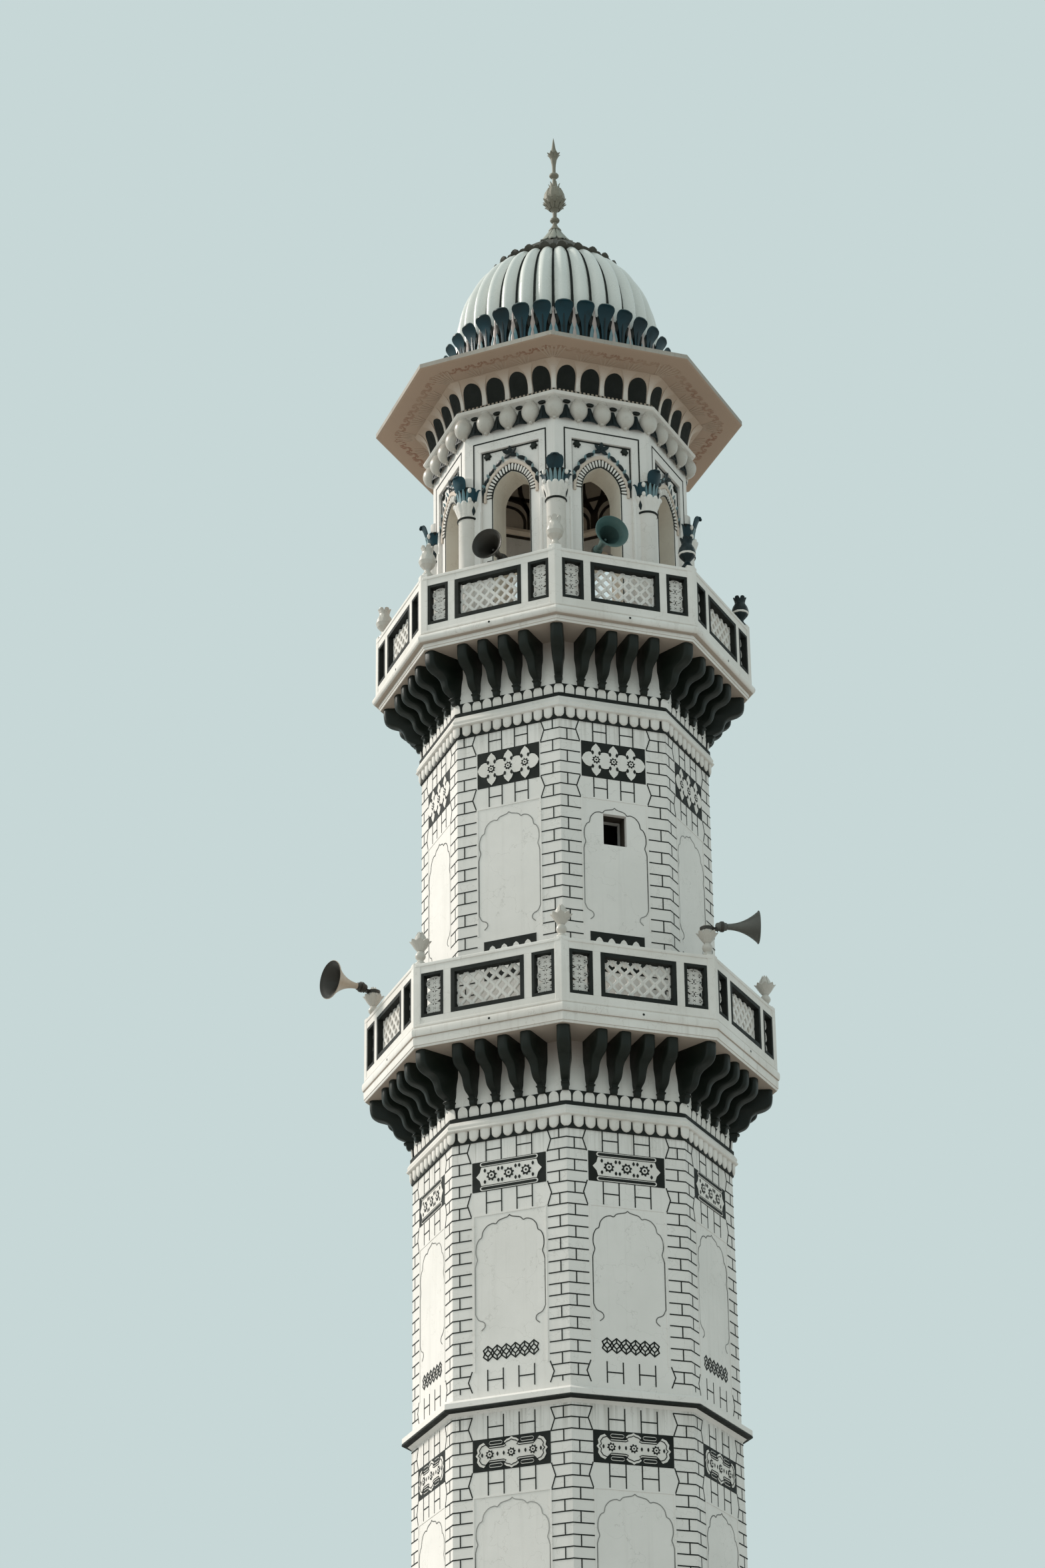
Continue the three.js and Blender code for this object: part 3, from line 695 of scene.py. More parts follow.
def joint_lines(tier, odd):
    """The painted joints of one side: quoins at both corners, and rows of blocks between them."""
    half = tier["radius"] * HALF
    edge = tier["edge"]
    step = tier["course"]
    split = half - 0.11
    notch = 0.055
    lines = []
    for k in range(int((tier["top"] - tier["bottom"]) / step) + 1):
        z = tier["top"] - k * step
        low = max(z - step, tier["bottom"])
        end = edge
        for first, last in tier["rows"]:
            if first < z < last:
                end = edge + notch * (1 - abs(2 * z - first - last) / (last - first))
        for side in (-1, 1):
            lines.append(((side * half, z), (side * end, z)))
            if k % 2 == odd:
                lines.append(((side * split, z), (side * split, low)))
    block = edge * 2 / 5
    for low, high in tier["rows"]:
        middle = (low + high) / 2
        for k in range(1, 5):
            lines.append(((block * k - edge, low), (block * k - edge, high)))
        for k in (1, 3):
            lines.append(((block * k - edge, middle), (block * (k + 1) - edge, middle)))
        for side in (-1, 1):
            point = (side * (edge + notch), middle)
            lines.append(((side * edge, high), point))
            lines.append((point, (side * edge, low)))
    return lines


ARCH_CUSPS = [  # how far out, as a part of the recess, and how far below the apex
    (0.96, 0.66),
    (0.93, 0.60),
    (0.90, 0.55),
    (0.94, 0.47),
    (0.93, 0.36),
    (0.86, 0.28),
    (0.78, 0.25),
    (0.74, 0.17),
    (0.62, 0.10),
    (0.47, 0.075),
    (0.38, 0.085),
    (0.30, 0.045),
    (0.16, 0.025),
    (0.06, 0.012),
    (0.0, -0.012),
]
ARCH_HOOK = [(0.80, 0.0), (0.70, 0.05), (0.73, 0.11), (0.88, 0.15), (0.96, 0.23)]


def cusped_arch(tier):
    """The thin line of a many-cusped arch that ends in small hooks."""
    wide = tier["recess"][0]
    low, apex = tier["arch"]
    hook = curve_through([(u * wide, low + z) for u, z in ARCH_HOOK], 3)
    left = hook + curve_through([(u * wide, apex - z) for u, z in ARCH_CUSPS], 3)
    return ribbon([(-u, z) for u, z in left] + left[-2::-1], LINE * 0.75)


def coat(outline, out, layer):
    """A flat coat of paint on a wall; the layer says which lies over which."""
    return plate(outline, out + PROUD * layer, PROUD * 2)


def eyes(places, z, radius, out, dark, light):
    """Adds dark gears, each with a white ring and a dark middle."""
    for x in places:
        dark.append(coat(gear(x, z, radius), out, 3))
        light.append(coat(disc(x, z, radius * 0.50), out, 4))
        dark.append(coat(disc(x, z, radius * 0.21, 8), out, 5))


def bar_in_line(left, right, middle, high, out, dark, light):
    """Adds a dark bar with round ends inside a white line."""
    outline = disc(right - high, middle, high, 12)[-3:] + disc(right - high, middle, high, 12)[:4]
    outline += disc(left + high, middle, high, 12)[3:10]
    centre = (left + right) / 2
    core = [(centre + (centre - x) * 0.96, middle + (middle - z) * 0.64) for x, z in outline]
    light.append(coat(outline, out, 2))
    dark.append(coat(core, out, 3))


def black_field(wide, low, high, out):
    """The black field of a panel, and the height of its middle."""
    return [coat(box_outline(-wide, low, wide, high), out, 1)], (low + high) / 2


PETAL = [
    (0.0, 0.03), (0.040, 0.05), (0.044, 0.09), (0.066, 0.125), (0.070, 0.155), (0.052, 0.195), (0.020, 0.230),
    (0.0, 0.252),
]
END_PETAL = [
    (0.0, 0.0), (0.085, 0.02), (0.108, 0.07), (0.112, 0.11), (0.095, 0.155), (0.055, 0.192), (0.0, 0.216),
]
FLOWERS_APART = 0.262


def flower_panel(tier, out):
    """Black panel with three joined flowers: tall petals, broad lobes between them and pointed ends."""
    dark, middle = black_field(*tier["panel"], out)
    apart = FLOWERS_APART
    light = [coat(disc(x, middle, 0.126, 20), out, 2.3) for x in (-apart / 2, apart / 2)]
    for side in (-1, 1):
        light.append(coat(both_sides(END_PETAL, side * apart, middle, side * math.pi / 2), out, 2.5))
    for x in (-apart, 0.0, apart):
        for way in (0, 1):
            light.append(coat(both_sides(PETAL, x, middle, way * math.pi), out, 2 + way / 9))
        for right in (-0.052, 0.052):
            for up in (-0.106, 0.106):
                dark.append(coat(lens(x + right, middle + up, 0.022, 0.036), out, 3))
    eyes((-apart, 0.0, apart), middle, 0.062, out, dark, light)
    return dark, light


def gear_panel(tier, out):
    """Black panel with pointed white ends, three gears, and dark bars above and below."""
    dark, middle = black_field(*tier["panel"], out)
    rise = tier["panel"][2] - middle
    quarter = [(0.485, 0), (0.43, 0.060), (0.41, 0.128), (0.0, 0.128)]
    light = [coat(four_ways(quarter, middle), out, 2)]
    places = (-0.255, 0.0, 0.255)
    eyes(places, middle, 0.076, out, dark, light)
    for side in (-1, 1):
        for x in places:
            for right in (-0.100, 0.100):
                dark.append(coat(lens(x + right, middle + side * 0.080, 0.020, 0.030), out, 3))
        bar_in_line(-0.43, 0.43, middle + side * (rise - 0.040), 0.030, out, dark, light)
    return dark, light


def cartouche_panel(tier, out):
    """Black panel with a bracket-ended white cartouche, spades above and below, gears and dark bars."""
    dark, middle = black_field(*tier["panel"], out)
    quarter = [
        (0.515, 0), (0.485, 0.035), (0.495, 0.085), (0.46, 0.14), (0.40, 0.165), (0.37, 0.135), (0.34, 0.10),
        (0.12, 0.10), (0.085, 0.115), (0.105, 0.15), (0.07, 0.178), (0.03, 0.188), (0, 0.207),
    ]
    outline = four_ways(quarter, middle)
    light = [coat(outline, out, 2)]
    inner = [(x * 0.925, middle + (z - middle) * 0.82) for x, z in outline]
    dark.append(coat(ribbon(inner + inner[:1], 0.012), out, 3))
    eyes((-0.31, 0.0, 0.31), middle, 0.060, out, dark, light)
    for x in (-0.42, -0.20, -0.11, 0.11, 0.20, 0.42):
        dark.append(coat(lens(x, middle, 0.016, 0.03), out, 3))
    for side in (-1, 1):
        for left, right in ((-0.32, -0.13), (0.13, 0.32)):
            bar_in_line(left, right, middle + side * 0.15, 0.026, out, dark, light)
    return dark, light


def lobed_panel(tier, out):
    """Black panel with a white cloud-edged plaque, low on the side."""
    low, high = tier["small"]
    dark, middle = black_field(0.40, low, high, out)
    rise = (high - low) / 2
    upper = [(0.37, 0.0)]
    for k in (1.5, 0.5, -0.5, -1.5):
        for t in (0.46, 0.33, 0.17, 0, -0.17, -0.33, -0.46):
            upper.append(((k + t) * 0.18, rise * (0.22 + 0.52 * math.cos(t * math.pi))))
    upper.append((-0.37, 0.0))
    outline = [(x, middle + z) for x, z in upper] + [(x, middle - z) for x, z in upper[-2:0:-1]]
    light = [coat(outline, out, 2)]
    eyes((-0.2, 0.0, 0.2), middle, 0.05, out, dark, light)
    return dark, light


def interlace(tier, out):
    """A small band of black strapwork: kites and stars between two zigzags."""
    low, high = tier["small"]
    middle = (low + high) / 2
    rise = (high - low) / 2 - 0.012
    unit = 0.133
    upper = [
        ((0, 0.45), (0.5, 1)), ((0.5, 1), (1, 0.45)), ((0.15, 0), (0.5, 0.45)), ((0.5, 0.45), (0.85, 0)),
        ((0.5, 1), (0.5, 0.45)), ((0, 0.45), (0.15, 0)), ((1, 0.45), (0.85, 0)),
    ]
    lines = []
    for k in range(-3, 3):
        for side in (-1, 1):
            for ends in upper:
                lines.append(tuple(((k + u) * unit, middle + side * v * rise) for u, v in ends))
    return strips(lines, 0.018, out, PROUD)


def window_painted_shade(out):
    """Painted shade: a dark lining on the sides of the small window, a little way in from the wall's face."""
    half, sill, head = 0.1725, 22.54, 23.01
    face, deep, thin = out - 0.075, 0.17, 0.005
    return joined([
        bar(-half, thin - half, sill, head, face, deep),
        bar(half - thin, half, sill, head, face, deep),
        bar(thin - half, half - thin, sill, sill + thin, face, deep),
        bar(thin - half, half - thin, head - thin, head, face, deep),
    ])


def dress_tier(tier, panel):
    """All that is painted on one tier of the shaft; the joints of neighbouring sides are staggered."""
    out = tier["radius"] * FLAT
    name = tier["name"]
    joints = [copies(strips(joint_lines(tier, 1 - odd), LINE, out, PROUD), SIDES[odd::2]) for odd in (0, 1)]
    place(painted(joined(joints), BLACK), name + "_joints")
    all_round(coat(cusped_arch(tier), out, 1), ARCH_INK, name + "_arch_lines")
    rim = strips(doorway(*tier["recess"]), 0.022, out, PROUD * 1.5)
    all_round(rim, WHITE, name + "_panel_rims")
    dark, light = panel(tier, out)
    if name == "upper":
        more_dark, more_light = lobed_panel(tier, out)
        dark += more_dark
        light += more_light
        # The small window's dark lining is painted shade.
        place(painted(window_painted_shade(out), WINDOW_PAINTED_SHADE), "window_painted_shade")
    else:
        all_round(interlace(tier, out), BLACK, name + "_interlace")
    all_round(joined(dark), BLACK, name + "_panels_dark")
    all_round(joined(light), TRIM, name + "_panels_light")


def dark_drip(low, proud, name):
    """The dark painted lower edge of a projecting course."""
    wall = 2.25
    edge = [(wall, low + 0.030), (wall + proud * 0.6, low + 0.052), (wall + proud, low + 0.058)]
    edge += [(wall + proud, low + 0.080), (wall, low + 0.080)]
    octagon_ring(edge, BLACK, name)


def dress_shaft():
    """White walls, the paint of all five tiers, and the dark edges of the three courses."""
    for wall in ("plinth", "base_wall", "string_course", "middle_wall", "upper_wall"):
        painted(nodes[wall], WHITE)
    for tier, panel in zip(TIERS, [flower_panel, gear_panel] + [cartouche_panel] * 3):
        dress_tier(tier, panel)
    dark_drip(14.50, 0.117, "string_dark_edge")
    dark_drip(9.83, 0.113, "high_band_dark_edge")
    dark_drip(5.15, 0.113, "low_band_dark_edge")


# ---- Balconies

LOWER_BALCONY = {
    "name": "lower",
    "wall": 2.221,
    "base": 18.28,
    "fillet": 18.60,
    "feet": LOWER_FEET,
    "soffit": 19.50,
    "floor": 19.70,
    "curb": 19.78,
    "rail": 20.715,
    "post_top": 20.745,
    "slab": 2.900,
    "roll": (19.655, 2.943),
    "parapet": 2.905,
    "reach": 0.56,
    "inside": 1.841,
    "floor_inside": 1.841,
}
UPPER_BALCONY = {
    "name": "upper",
    "wall": 2.095,
    "base": 24.43,
    "fillet": 24.77,
    "feet": 24.94,
    "soffit": 25.63,
    "floor": 25.79,
    "curb": 25.845,
    "rail": 26.77,
    "post_top": 26.83,
    "slab": 2.716,
    "roll": (25.722, 2.831),
    "parapet": 2.775,
    "reach": 0.52,
    "inside": 1.715,
    "floor_inside": 0,
}
PARAPET_THICK = 0.11
UPPER_HALF = 1.0619  # half a side of the upper parapet, for which the windows are measured


def tongue(half, reach, deep):
    """A rounded tongue that hangs from the origin: a ball drawn out upwards, flattened to the wall."""
    start()
    bpy.ops.mesh.primitive_uv_sphere_add(segments=12, ring_count=8, radius=1, scale=(half, deep, half * 1.15))
    obj = settle(bpy.context.object)
    edit(obj)
    pick(obj, lambda corner: corner.z > -TINY)
    bpy.ops.transform.translate(value=(0, 0, reach - half * 2.30))
    bpy.ops.object.mode_set(mode="OBJECT")
    return smoothed(moved(obj, shift(0, 0, half * 1.15 - reach)), 60)


def scallop(half, high):
    """An upright scallop: straight sides and a round head, its face a little hollowed towards the foot."""
    head = half * 1.05
    rows = [(0.0, half, 0.012), (high - head, half, 0.020)]
    for i in range(1, 6):
        a = math.pi / 2 * i / 5
        rise = math.sin(a)
        rows.append((high - head * (1 - rise), half * max(math.cos(a), 0.10), 0.020 + 0.004 * rise))
    return smoothed(leaf(rows, across=4, cup=0.12, thick=0.016), 50)


def cornice_rows(b):
    """Hanging tongues, a black fillet and upright scallops on the cornice under the corbels."""
    name = b["name"]
    pitch = b["wall"] * HALF / 5
    low, fillet, feet, wall = b["base"], b["fillet"], b["feet"], b["wall"]
    steps = [
        (0.022, 0.140), (0.070, 0.142), (0.090, 0.156), (0.086, 0.172), (0.070, 0.182), (0.074, 0.202),
        (0.078, 0.222), (0.058, 0.256), (0.034, fillet - low - 0.032),
    ]
    ring = [(b["inside"], low), (wall, low), (wall + 0.004, low + 0.01), (wall + 0.006, low + 0.139)]
    ring += curve_through([(wall + r, low + z) for r, z in steps], 2)
    ring += [(wall + 0.006, fillet - 0.03), (wall + 0.004, feet - 0.0005), (b["inside"], feet - 0.0005)]
    octagon_ring(ring, TRIM, name + "_cornice_moulding", [name + "_cornice"])
    proud = wall + 0.022
    backing = [(wall, low - 0.032), (proud, low - 0.030), (proud, low + 0.144), (wall, low + 0.144)]
    for part, sections in (
        ("_tongue_backing", backing),
        ("_fillet", box_outline(wall, fillet - 0.034, wall + 0.036, fillet + 0.022)),
        ("_scallop_backing", box_outline(wall, fillet + 0.021, wall + 0.009, feet + 0.012)),
    ):
        octagon_ring(sections, BLACK, name + part)
    lift = fillet + 0.030
    for part, piece, height, on_side, on_corner in (
        ("_tongues", tongue(pitch * 0.450, 0.244, 0.034), low + 0.230, 0.022, 0.013),
        ("_scallops", scallop(pitch * 0.43, feet - lift + 0.004), lift, 0.004, 0.002),
    ):
        out = (wall + on_side) * FLAT
        moves = [side @ shift(pitch * k, -out, height) for side in SIDES for k in range(-4, 5)]
        moves += [corner @ shift(0, -wall - on_corner, height) for corner in CORNERS]
        scatter(piece, moves, TRIM, name + part)


BAYS = (-1.5, -0.5, 0.5, 1.5)  # four places on a side, in steps from its middle
CORBEL_ROWS = [  # how far down, how far out and how wide, each as a part of the whole
    (0.14, 1.0, 1.0),
    (0.24, 0.985, 1.0),
    (0.32, 0.94, 1.0),
    (0.385, 0.83, 0.98),
    (0.42, 0.70, 0.94),
    (0.455, 0.59, 0.88),
    (0.52, 0.505, 0.80),
    (0.60, 0.465, 0.74),
    (0.68, 0.43, 0.71),
    (0.745, 0.365, 0.68),
    (0.785, 0.275, 0.63),
    (0.82, 0.185, 0.56),
    (0.85, 0.165, 0.54),
    (0.865, 0.205, 0.64),
    (0.885, 0.205, 0.64),
    (0.90, 0.160, 0.54),
    (0.96, 0.150, 0.52),
    (1.0, 0.120, 0.48),
]


def corbel(b, distance, reach, wide):
    """One scrolled corbel: a heavy rounded head, an S-shaped front and a ringed foot."""
    high = b["soffit"] - b["feet"] + 0.01
    sunk = 0.06  # how far its back is set into the wall
    back = sunk - distance
    front = back - reach
    first = CORBEL_ROWS[0][0] * high
    bottom = b["soffit"] - first
    obj = bar(-wide / 2, wide / 2, bottom, b["soffit"], reach - back + sunk, reach + sunk)
    edit(obj)
    pick_edges(obj, lambda a, c: a.y < front and c.y < front and abs(a.z - c.z) > TINY)
    bpy.ops.mesh.bevel(offset=wide * 0.34, segments=6)
    bpy.ops.mesh.select_mode(type="VERT")
    pick(obj, lambda corner: corner.z < bottom + TINY)
    down, out, width = CORBEL_ROWS[0]
    for next_down, next_out, next_width in curve_through(CORBEL_ROWS, 2)[1:]:
        bpy.ops.mesh.extrude_region_move(TRANSFORM_OT_translate={"value": (0, 0, (down - next_down) * high)})
        grow = (next_out * reach + sunk) / (out * reach + sunk)
        bpy.ops.transform.resize(value=(next_width / width, grow, 1), center_override=(0, back, 0))
        down, out, width = next_down, next_out, next_width
    return close_up(obj)


def corbels(b):
    """Four corbels on each side and one on each corner, with the wall behind them, painted darker towards the
    slab as shade.
    """
    name, wall = b["name"], b["wall"]
    pitch = wall * HALF * 2 / 5
    ring = box_outline(b["inside"], b["feet"], wall, b["soffit"])
    octagon_ring(ring, SHADED_NICHE_WALL, name + "_corbel_wall", [name + "_corbels"])
    moves = [side @ shift(k * pitch, 0, 0) for side in SIDES for k in BAYS]
    sides = copies(corbel(b, wall * FLAT, b["reach"], 0.165), moves)
    on_corners = copies(corbel(b, wall, b["reach"] / FLAT, 0.18), CORNERS)
    place(painted(smoothed(joined([sides, on_corners]), 75), CORBEL), name + "_corbel_scrolls")


def slab(b):
    """The balcony slab: a plain fascia, a groove and a fat roll below the curb."""
    name = b["name"]
    soffit, curb, floor, inside, edge = b["soffit"], b["curb"], b["floor"], b["floor_inside"], b["slab"]
    groove, bulge = b["roll"]
    tall = curb - groove
    roll = [(0.62, 0.03), (0.86, 0.16), (0.98, 0.38), (1.0, 0.58), (0.90, 0.80), (0.66, 0.94)]
    neck = edge + 0.010
    stem = b["parapet"] - PARAPET_THICK / FLAT
    profile = [(inside, soffit), (edge - 0.008, soffit), (edge, soffit + 0.010)]
    profile += [(edge + 0.004, soffit + 0.030), (edge + 0.014, soffit + 0.034)]
    profile += [(edge + 0.018, groove - 0.020), (neck, groove - 0.016), (neck, groove - 0.002)]
    profile += curve_through([(neck + (bulge - neck) * r, groove + tall * z) for r, z in roll], 2)
    profile += [(b["parapet"] + 0.012, curb - 0.002), (stem, curb), (stem, floor), (inside, floor)]
    obj = turned_form(profile, 8, inside > 0)
    # The slab's faces that point down carry painted shade from its finish.
    place(painted(obj, EDGE), name + "_slab", [name + "_balcony_slab"])
    drain = plate(disc(0.04, groove + tall * 0.55, 0.017, 10), bulge * FLAT + 0.002, 0.02)
    all_round(drain, BLACK, name + "_drains")


def net(left, right, bottom, top, columns, out, wire, thick):
    """An openwork net of wavy strands that touch where they bulge, as pierced plaster."""
    pieces = []
    pitch = (right - left) / columns
    period = pitch * 2.1
    steps = round((top - bottom) / period * 8)
    for k in range(columns + 1):
        path = []
        for i in range(steps + 1):
            z = bottom + (top - bottom) * i / steps
            x = left + pitch * (k + (-1) ** k * 0.37 * math.sin(2 * math.pi * (z - bottom) / period))
            path.append((min(max(x, left), right), z))
        pieces.append(strand(path, wire, out, thick))
    return bevelled(joined(pieces), 0.012, 1)


def rosettes(left, right, bottom, top, out, thick, heavy=0.0):
    """Narrow openwork: rings set one above another, each with a four-armed flower."""
    middle = (left + right) / 2
    radius = (right - left) / 2 * 0.97
    count = max(3, round((top - bottom) / (radius * 2.1)))
    pitch = (top - bottom) / count
    ring = turned_form(box_outline(0.80 - heavy, -0.5, 1.04, 0.5), 14, True)
    petal = turned_form([(0.0, -0.5), (0.24, -0.5), (0.33, -0.2), (0.33, 0.3), (0.24, 0.5), (0.0, 0.5)], 8)
    petals = copies(petal, [shift(0.36 * x, 0.36 * y, 0) for x in (-1, 1) for y in (-1, 1)])
    arms = joined([bar(-0.95, 0.95, -0.5, 0.5, 0.08, 0.16), bar(-0.08, 0.08, -0.5, 0.5, 0.95, 1.9)])
    flower = moved(joined([ring, petals, arms]), Matrix.Diagonal((radius, thick, pitch * 0.5, 1)) @ LAID)
    return copies(flower, [shift(middle, thick / 2 - out, bottom + pitch * (k + 0.5)) for k in range(count)])


def parapet_window(left, right, low, high, out):
    """The four bars of a black frame, an openwork screen, and painted shade behind a narrow one: a dark,
    thicker copy of its screen.
    """
    broad = right - left > 0.5
    rim = 0.060 if broad else 0.043
    bars = []
    for sides in (
        (left, left + rim, low, high),
        (right - rim, right, low, high),
        (left + rim, right - rim, low, low + rim),
        (left + rim, right - rim, high - rim, high),
    ):
        bars.append(bar(*sides, out + 0.003, 0.112, 0.003))
    hole = (left + rim, right - rim, low + rim, high - rim)
    screen = out - 0.074
    if broad:
        return bars, [net(*hole, 11, screen, 0.047, 0.034)], []
    # The dark copy behind a narrow screen is painted shade in its holes.
    return bars, [rosettes(*hole, screen, 0.014)], [rosettes(*hole, screen - 0.012, 0.022, 0.06)]


def parapet(b):
    """The parapet's sides: rails and stiles, black frames and reveals, and openwork screens in them."""
    name = b["name"]
    out = b["parapet"] * FLAT
    half = b["parapet"] * HALF
    grow = half / UPPER_HALF
    wide, inner, outer = 0.525 * grow, 0.635 * grow, 0.955 * grow
    low, high = b["curb"] + 0.150, b["rail"] - 0.145
    edge = half - 0.03
    rail_low, rail_high = b["rail"] - 0.045, b["rail"] + 0.008
    bars = [
        bar(-edge, edge, b["curb"] + 0.02, low, out, PARAPET_THICK, 0.006),
        bar(-edge, edge, high, b["rail"], out, PARAPET_THICK, 0.006),
        bar(-edge - 0.012, edge + 0.012, rail_low, rail_high, out + 0.012, PARAPET_THICK + 0.024, 0.012),
        bar(-edge, edge, b["curb"] + 0.015, b["curb"] + 0.055, out + 0.010, PARAPET_THICK, 0.010),
    ]
    for side in (-1, 1):
        for first, last in ((wide, inner), (outer, edge)):
            left, right = sorted((side * first, side * last))
            bars.append(bar(left, right, low - 0.002, high + 0.002, out, PARAPET_THICK, 0.004))
    frames, screens, shaded = [], [], []
    for left, right in ((-wide, wide), (-outer, -inner), (inner, outer)):
        for pieces, more in zip((frames, screens, shaded), parapet_window(left, right, low, high, out)):
            pieces += more
    replaced = [name + "_parapet_%d" % k for k in range(1, 9)]
    all_round(joined(bars), TRIM, name + "_parapet_rails", replaced)
    all_round(joined(frames), BLACK, name + "_parapet_frames")
    all_round(joined(screens), TRIM, name + "_parapet_screens")
    # Painted shade behind the narrow screens.
    all_round(joined(shaded), BLACK, name + "_painted_screen_shade")


def bud(foot, profile, *leaves):
    """A turned bud on its foot, with rings of leaves: (their turns, how far they cup, thickness, rows)."""
    pieces = [smoothed(turned_form([(r, foot + z) for r, z in curve_through(profile, 2)], 20))]
    for moves, cup, thick, rows in leaves:
        pieces.append(copies(leaf([(foot + z, half, out) for z, half, out in rows], 4, cup, thick), moves))
    return joined(pieces)


def bud_upper(foot):
    """A closed bud on a flared foot, with a crown of blunt petals."""
    profile = [
        (0.085, -0.02), (0.088, 0.025), (0.075, 0.045), (0.050, 0.085), (0.046, 0.115), (0.085, 0.165),
        (0.118, 0.225), (0.122, 0.275), (0.100, 0.345), (0.074, 0.400), (0.070, 0.430), (0.045, 0.475),
        (0.0, 0.500),
    ]
    crown = [(0.36, 0.030, 0.080), (0.41, 0.038, 0.076), (0.455, 0.040, 0.086), (0.485, 0.034, 0.098)]
    crown += [(0.495, 0.018, 0.100)]
    sepal = [(0.13, 0.012, 0.058), (0.19, 0.042, 0.108), (0.25, 0.048, 0.129), (0.31, 0.034, 0.118)]
    sepal += [(0.36, 0.008, 0.100)]
    return bud(foot, profile, (ring_of(6), 0.25, 0.012, crown), (ring_of(8), 0.3, 0.008, sepal))


def bud_lower(foot):
    """An open lotus on a waisted foot, its leaves splayed below a pointed heart."""
    profile = [
        (0.080, -0.02), (0.082, 0.020), (0.060, 0.045), (0.042, 0.070), (0.066, 0.105), (0.074, 0.140),
        (0.060, 0.175), (0.042, 0.205), (0.062, 0.250), (0.094, 0.310), (0.096, 0.345), (0.074, 0.400),
        (0.046, 0.450), (0.0, 0.500),
    ]
    splayed = [(0.205, 0.020, 0.046), (0.255, 0.046, 0.080), (0.300, 0.054, 0.112), (0.335, 0.040, 0.138)]
    splayed += [(0.355, 0.005, 0.156)]
    heart = [(0.29, 0.040, 0.096), (0.35, 0.046, 0.098), (0.42, 0.034, 0.074), (0.495, 0.004, 0.034)]
    return bud(foot, profile, (ring_of(8), 0.2, 0.012, splayed), (ring_of(6, 0.4), 0.2, 0.012, heart))


DARK_BUDS = (22.5, 67.5)  # bearings of the two painted dark on the upper balcony
BUD_SET_IN = 0.12  # from a corner of the parapet to the middle of its bud


def posts(b):
    """Folded corner posts with their buds, and the foot rail that carries the parapet."""
    name, radius, top = b["name"], b["parapet"], b["post_top"]
    face = 0.105  # width of a post's face to each side of the corner
    across, side = face * FLAT, face * HALF
    deep_x, deep_y = PARAPET_THICK * HALF, PARAPET_THICK * FLAT
    right = [
        (across, side - radius - 0.008),
        (across - deep_x, side - radius + deep_y),
        (across - deep_x, 0.20 - radius),
    ]
    plan = [(0, -radius - 0.008)] + right + [(-x, y) for x, y in reversed(right)]
    post = bevelled(prism(plan, b["curb"] + 0.015, top), 0.008, 2)
    low = b["curb"] - 0.01
    rail = turned_form(box_outline(radius - 0.119, low, radius, low + 0.035), 8, True)
    whole = painted(joined([copies(post, CORNERS), rail]), TRIM)
    place(whole, name + "_corner_posts", [name + "_posts"])
    seat = shift(0, BUD_SET_IN - radius, 0)
    bearings = [45 * k + 22.5 for k in range(-4, 4)]
    if name == "lower":
        moves = [turn(a) @ seat for a in bearings]
        scatter(bud_lower(top), moves, BUD_WHITE, "lower_buds")
        return
    moves = [turn(a) @ seat for a in bearings if a not in DARK_BUDS]
    scatter(bud_upper(top), moves, BUD_WHITE, "upper_buds")
    moves = [turn(a) @ seat for a in DARK_BUDS]
    scatter(bud_upper(top), moves, DARK_TEAL, "upper_dark_buds")
    belt = [(0.10, 0.205), (0.122, 0.215), (0.128, 0.235), (0.120, 0.248), (0.10, 0.25)]
    belt = turned_form([(r, top + z) for r, z in belt], 20, True)
    scatter(smoothed(belt), moves, TRIM, "dark_bud_belts")


def dress_balcony(b):
    """Everything of one balcony, from the cornice below it to the buds on its posts."""
    cornice_rows(b)
    corbels(b)
    slab(b)
    parapet(b)
    posts(b)


# ---- Lantern

LANTERN_CORNER = 1.921  # from the tower's axis to the outer and the inner corners of the walls
LANTERN_BORE = 1.40
LANTERN_OUT = LANTERN_CORNER * FLAT  # how far out the outer faces lie, and half their width
LANTERN_HALF = LANTERN_CORNER * HALF
LANTERN_IN = LANTERN_BORE * FLAT  # the same for the inner faces
INNER_HALF = LANTERN_BORE * HALF
LANTERN_FLOOR = 25.79
LANTERN_TOP = 29.455
CORNICE_TOP = 29.83
SOFFIT_LEVEL = 30.290
RECESS = 0.05  # depth, half width and top of the recess that frames an opening
RECESS_HALF = 0.47
RECESS_TOP = 29.12
SPRINGING = 28.33

OPENING = (0.300, 0.390)  # arch lines: half the width, and the rise over the springing
TEETH_IN, TEETH_OUT = (0.316, 0.406), (0.398, 0.520)
BAND_OUT = (0.442, 0.590)
GARLAND = (0.456, 0.665)


def arch_point(line, along, side=1):
    """A place on a pointed arch line, from 0 at its springing to 1 at its apex."""
    half, rise = line
    radius = (half * half + rise * rise) / (2 * half)
    angle = math.asin(rise / radius) * along
    return side * (half - radius + radius * math.cos(angle)), SPRINGING + radius * math.sin(angle)


def arch_path(line):
    """An arch line from its left springing over the apex to its right one."""
    steps = 10
    right = [arch_point(line, i / steps) for i in range(steps)] + [(0.0, SPRINGING + line[1])]
    return [(-u, z) for u, z in right] + right[-2::-1]


def arch_band(inner, outer, low=None):
    """The outline between two arch lines, its legs run down to low."""
    over, under = arch_path(outer), arch_path(inner)
    if low is not None:
        over = [(over[0][0], low)] + over + [(over[-1][0], low)]
        under = [(under[0][0], low)] + under + [(under[-1][0], low)]
    return over + under[::-1]


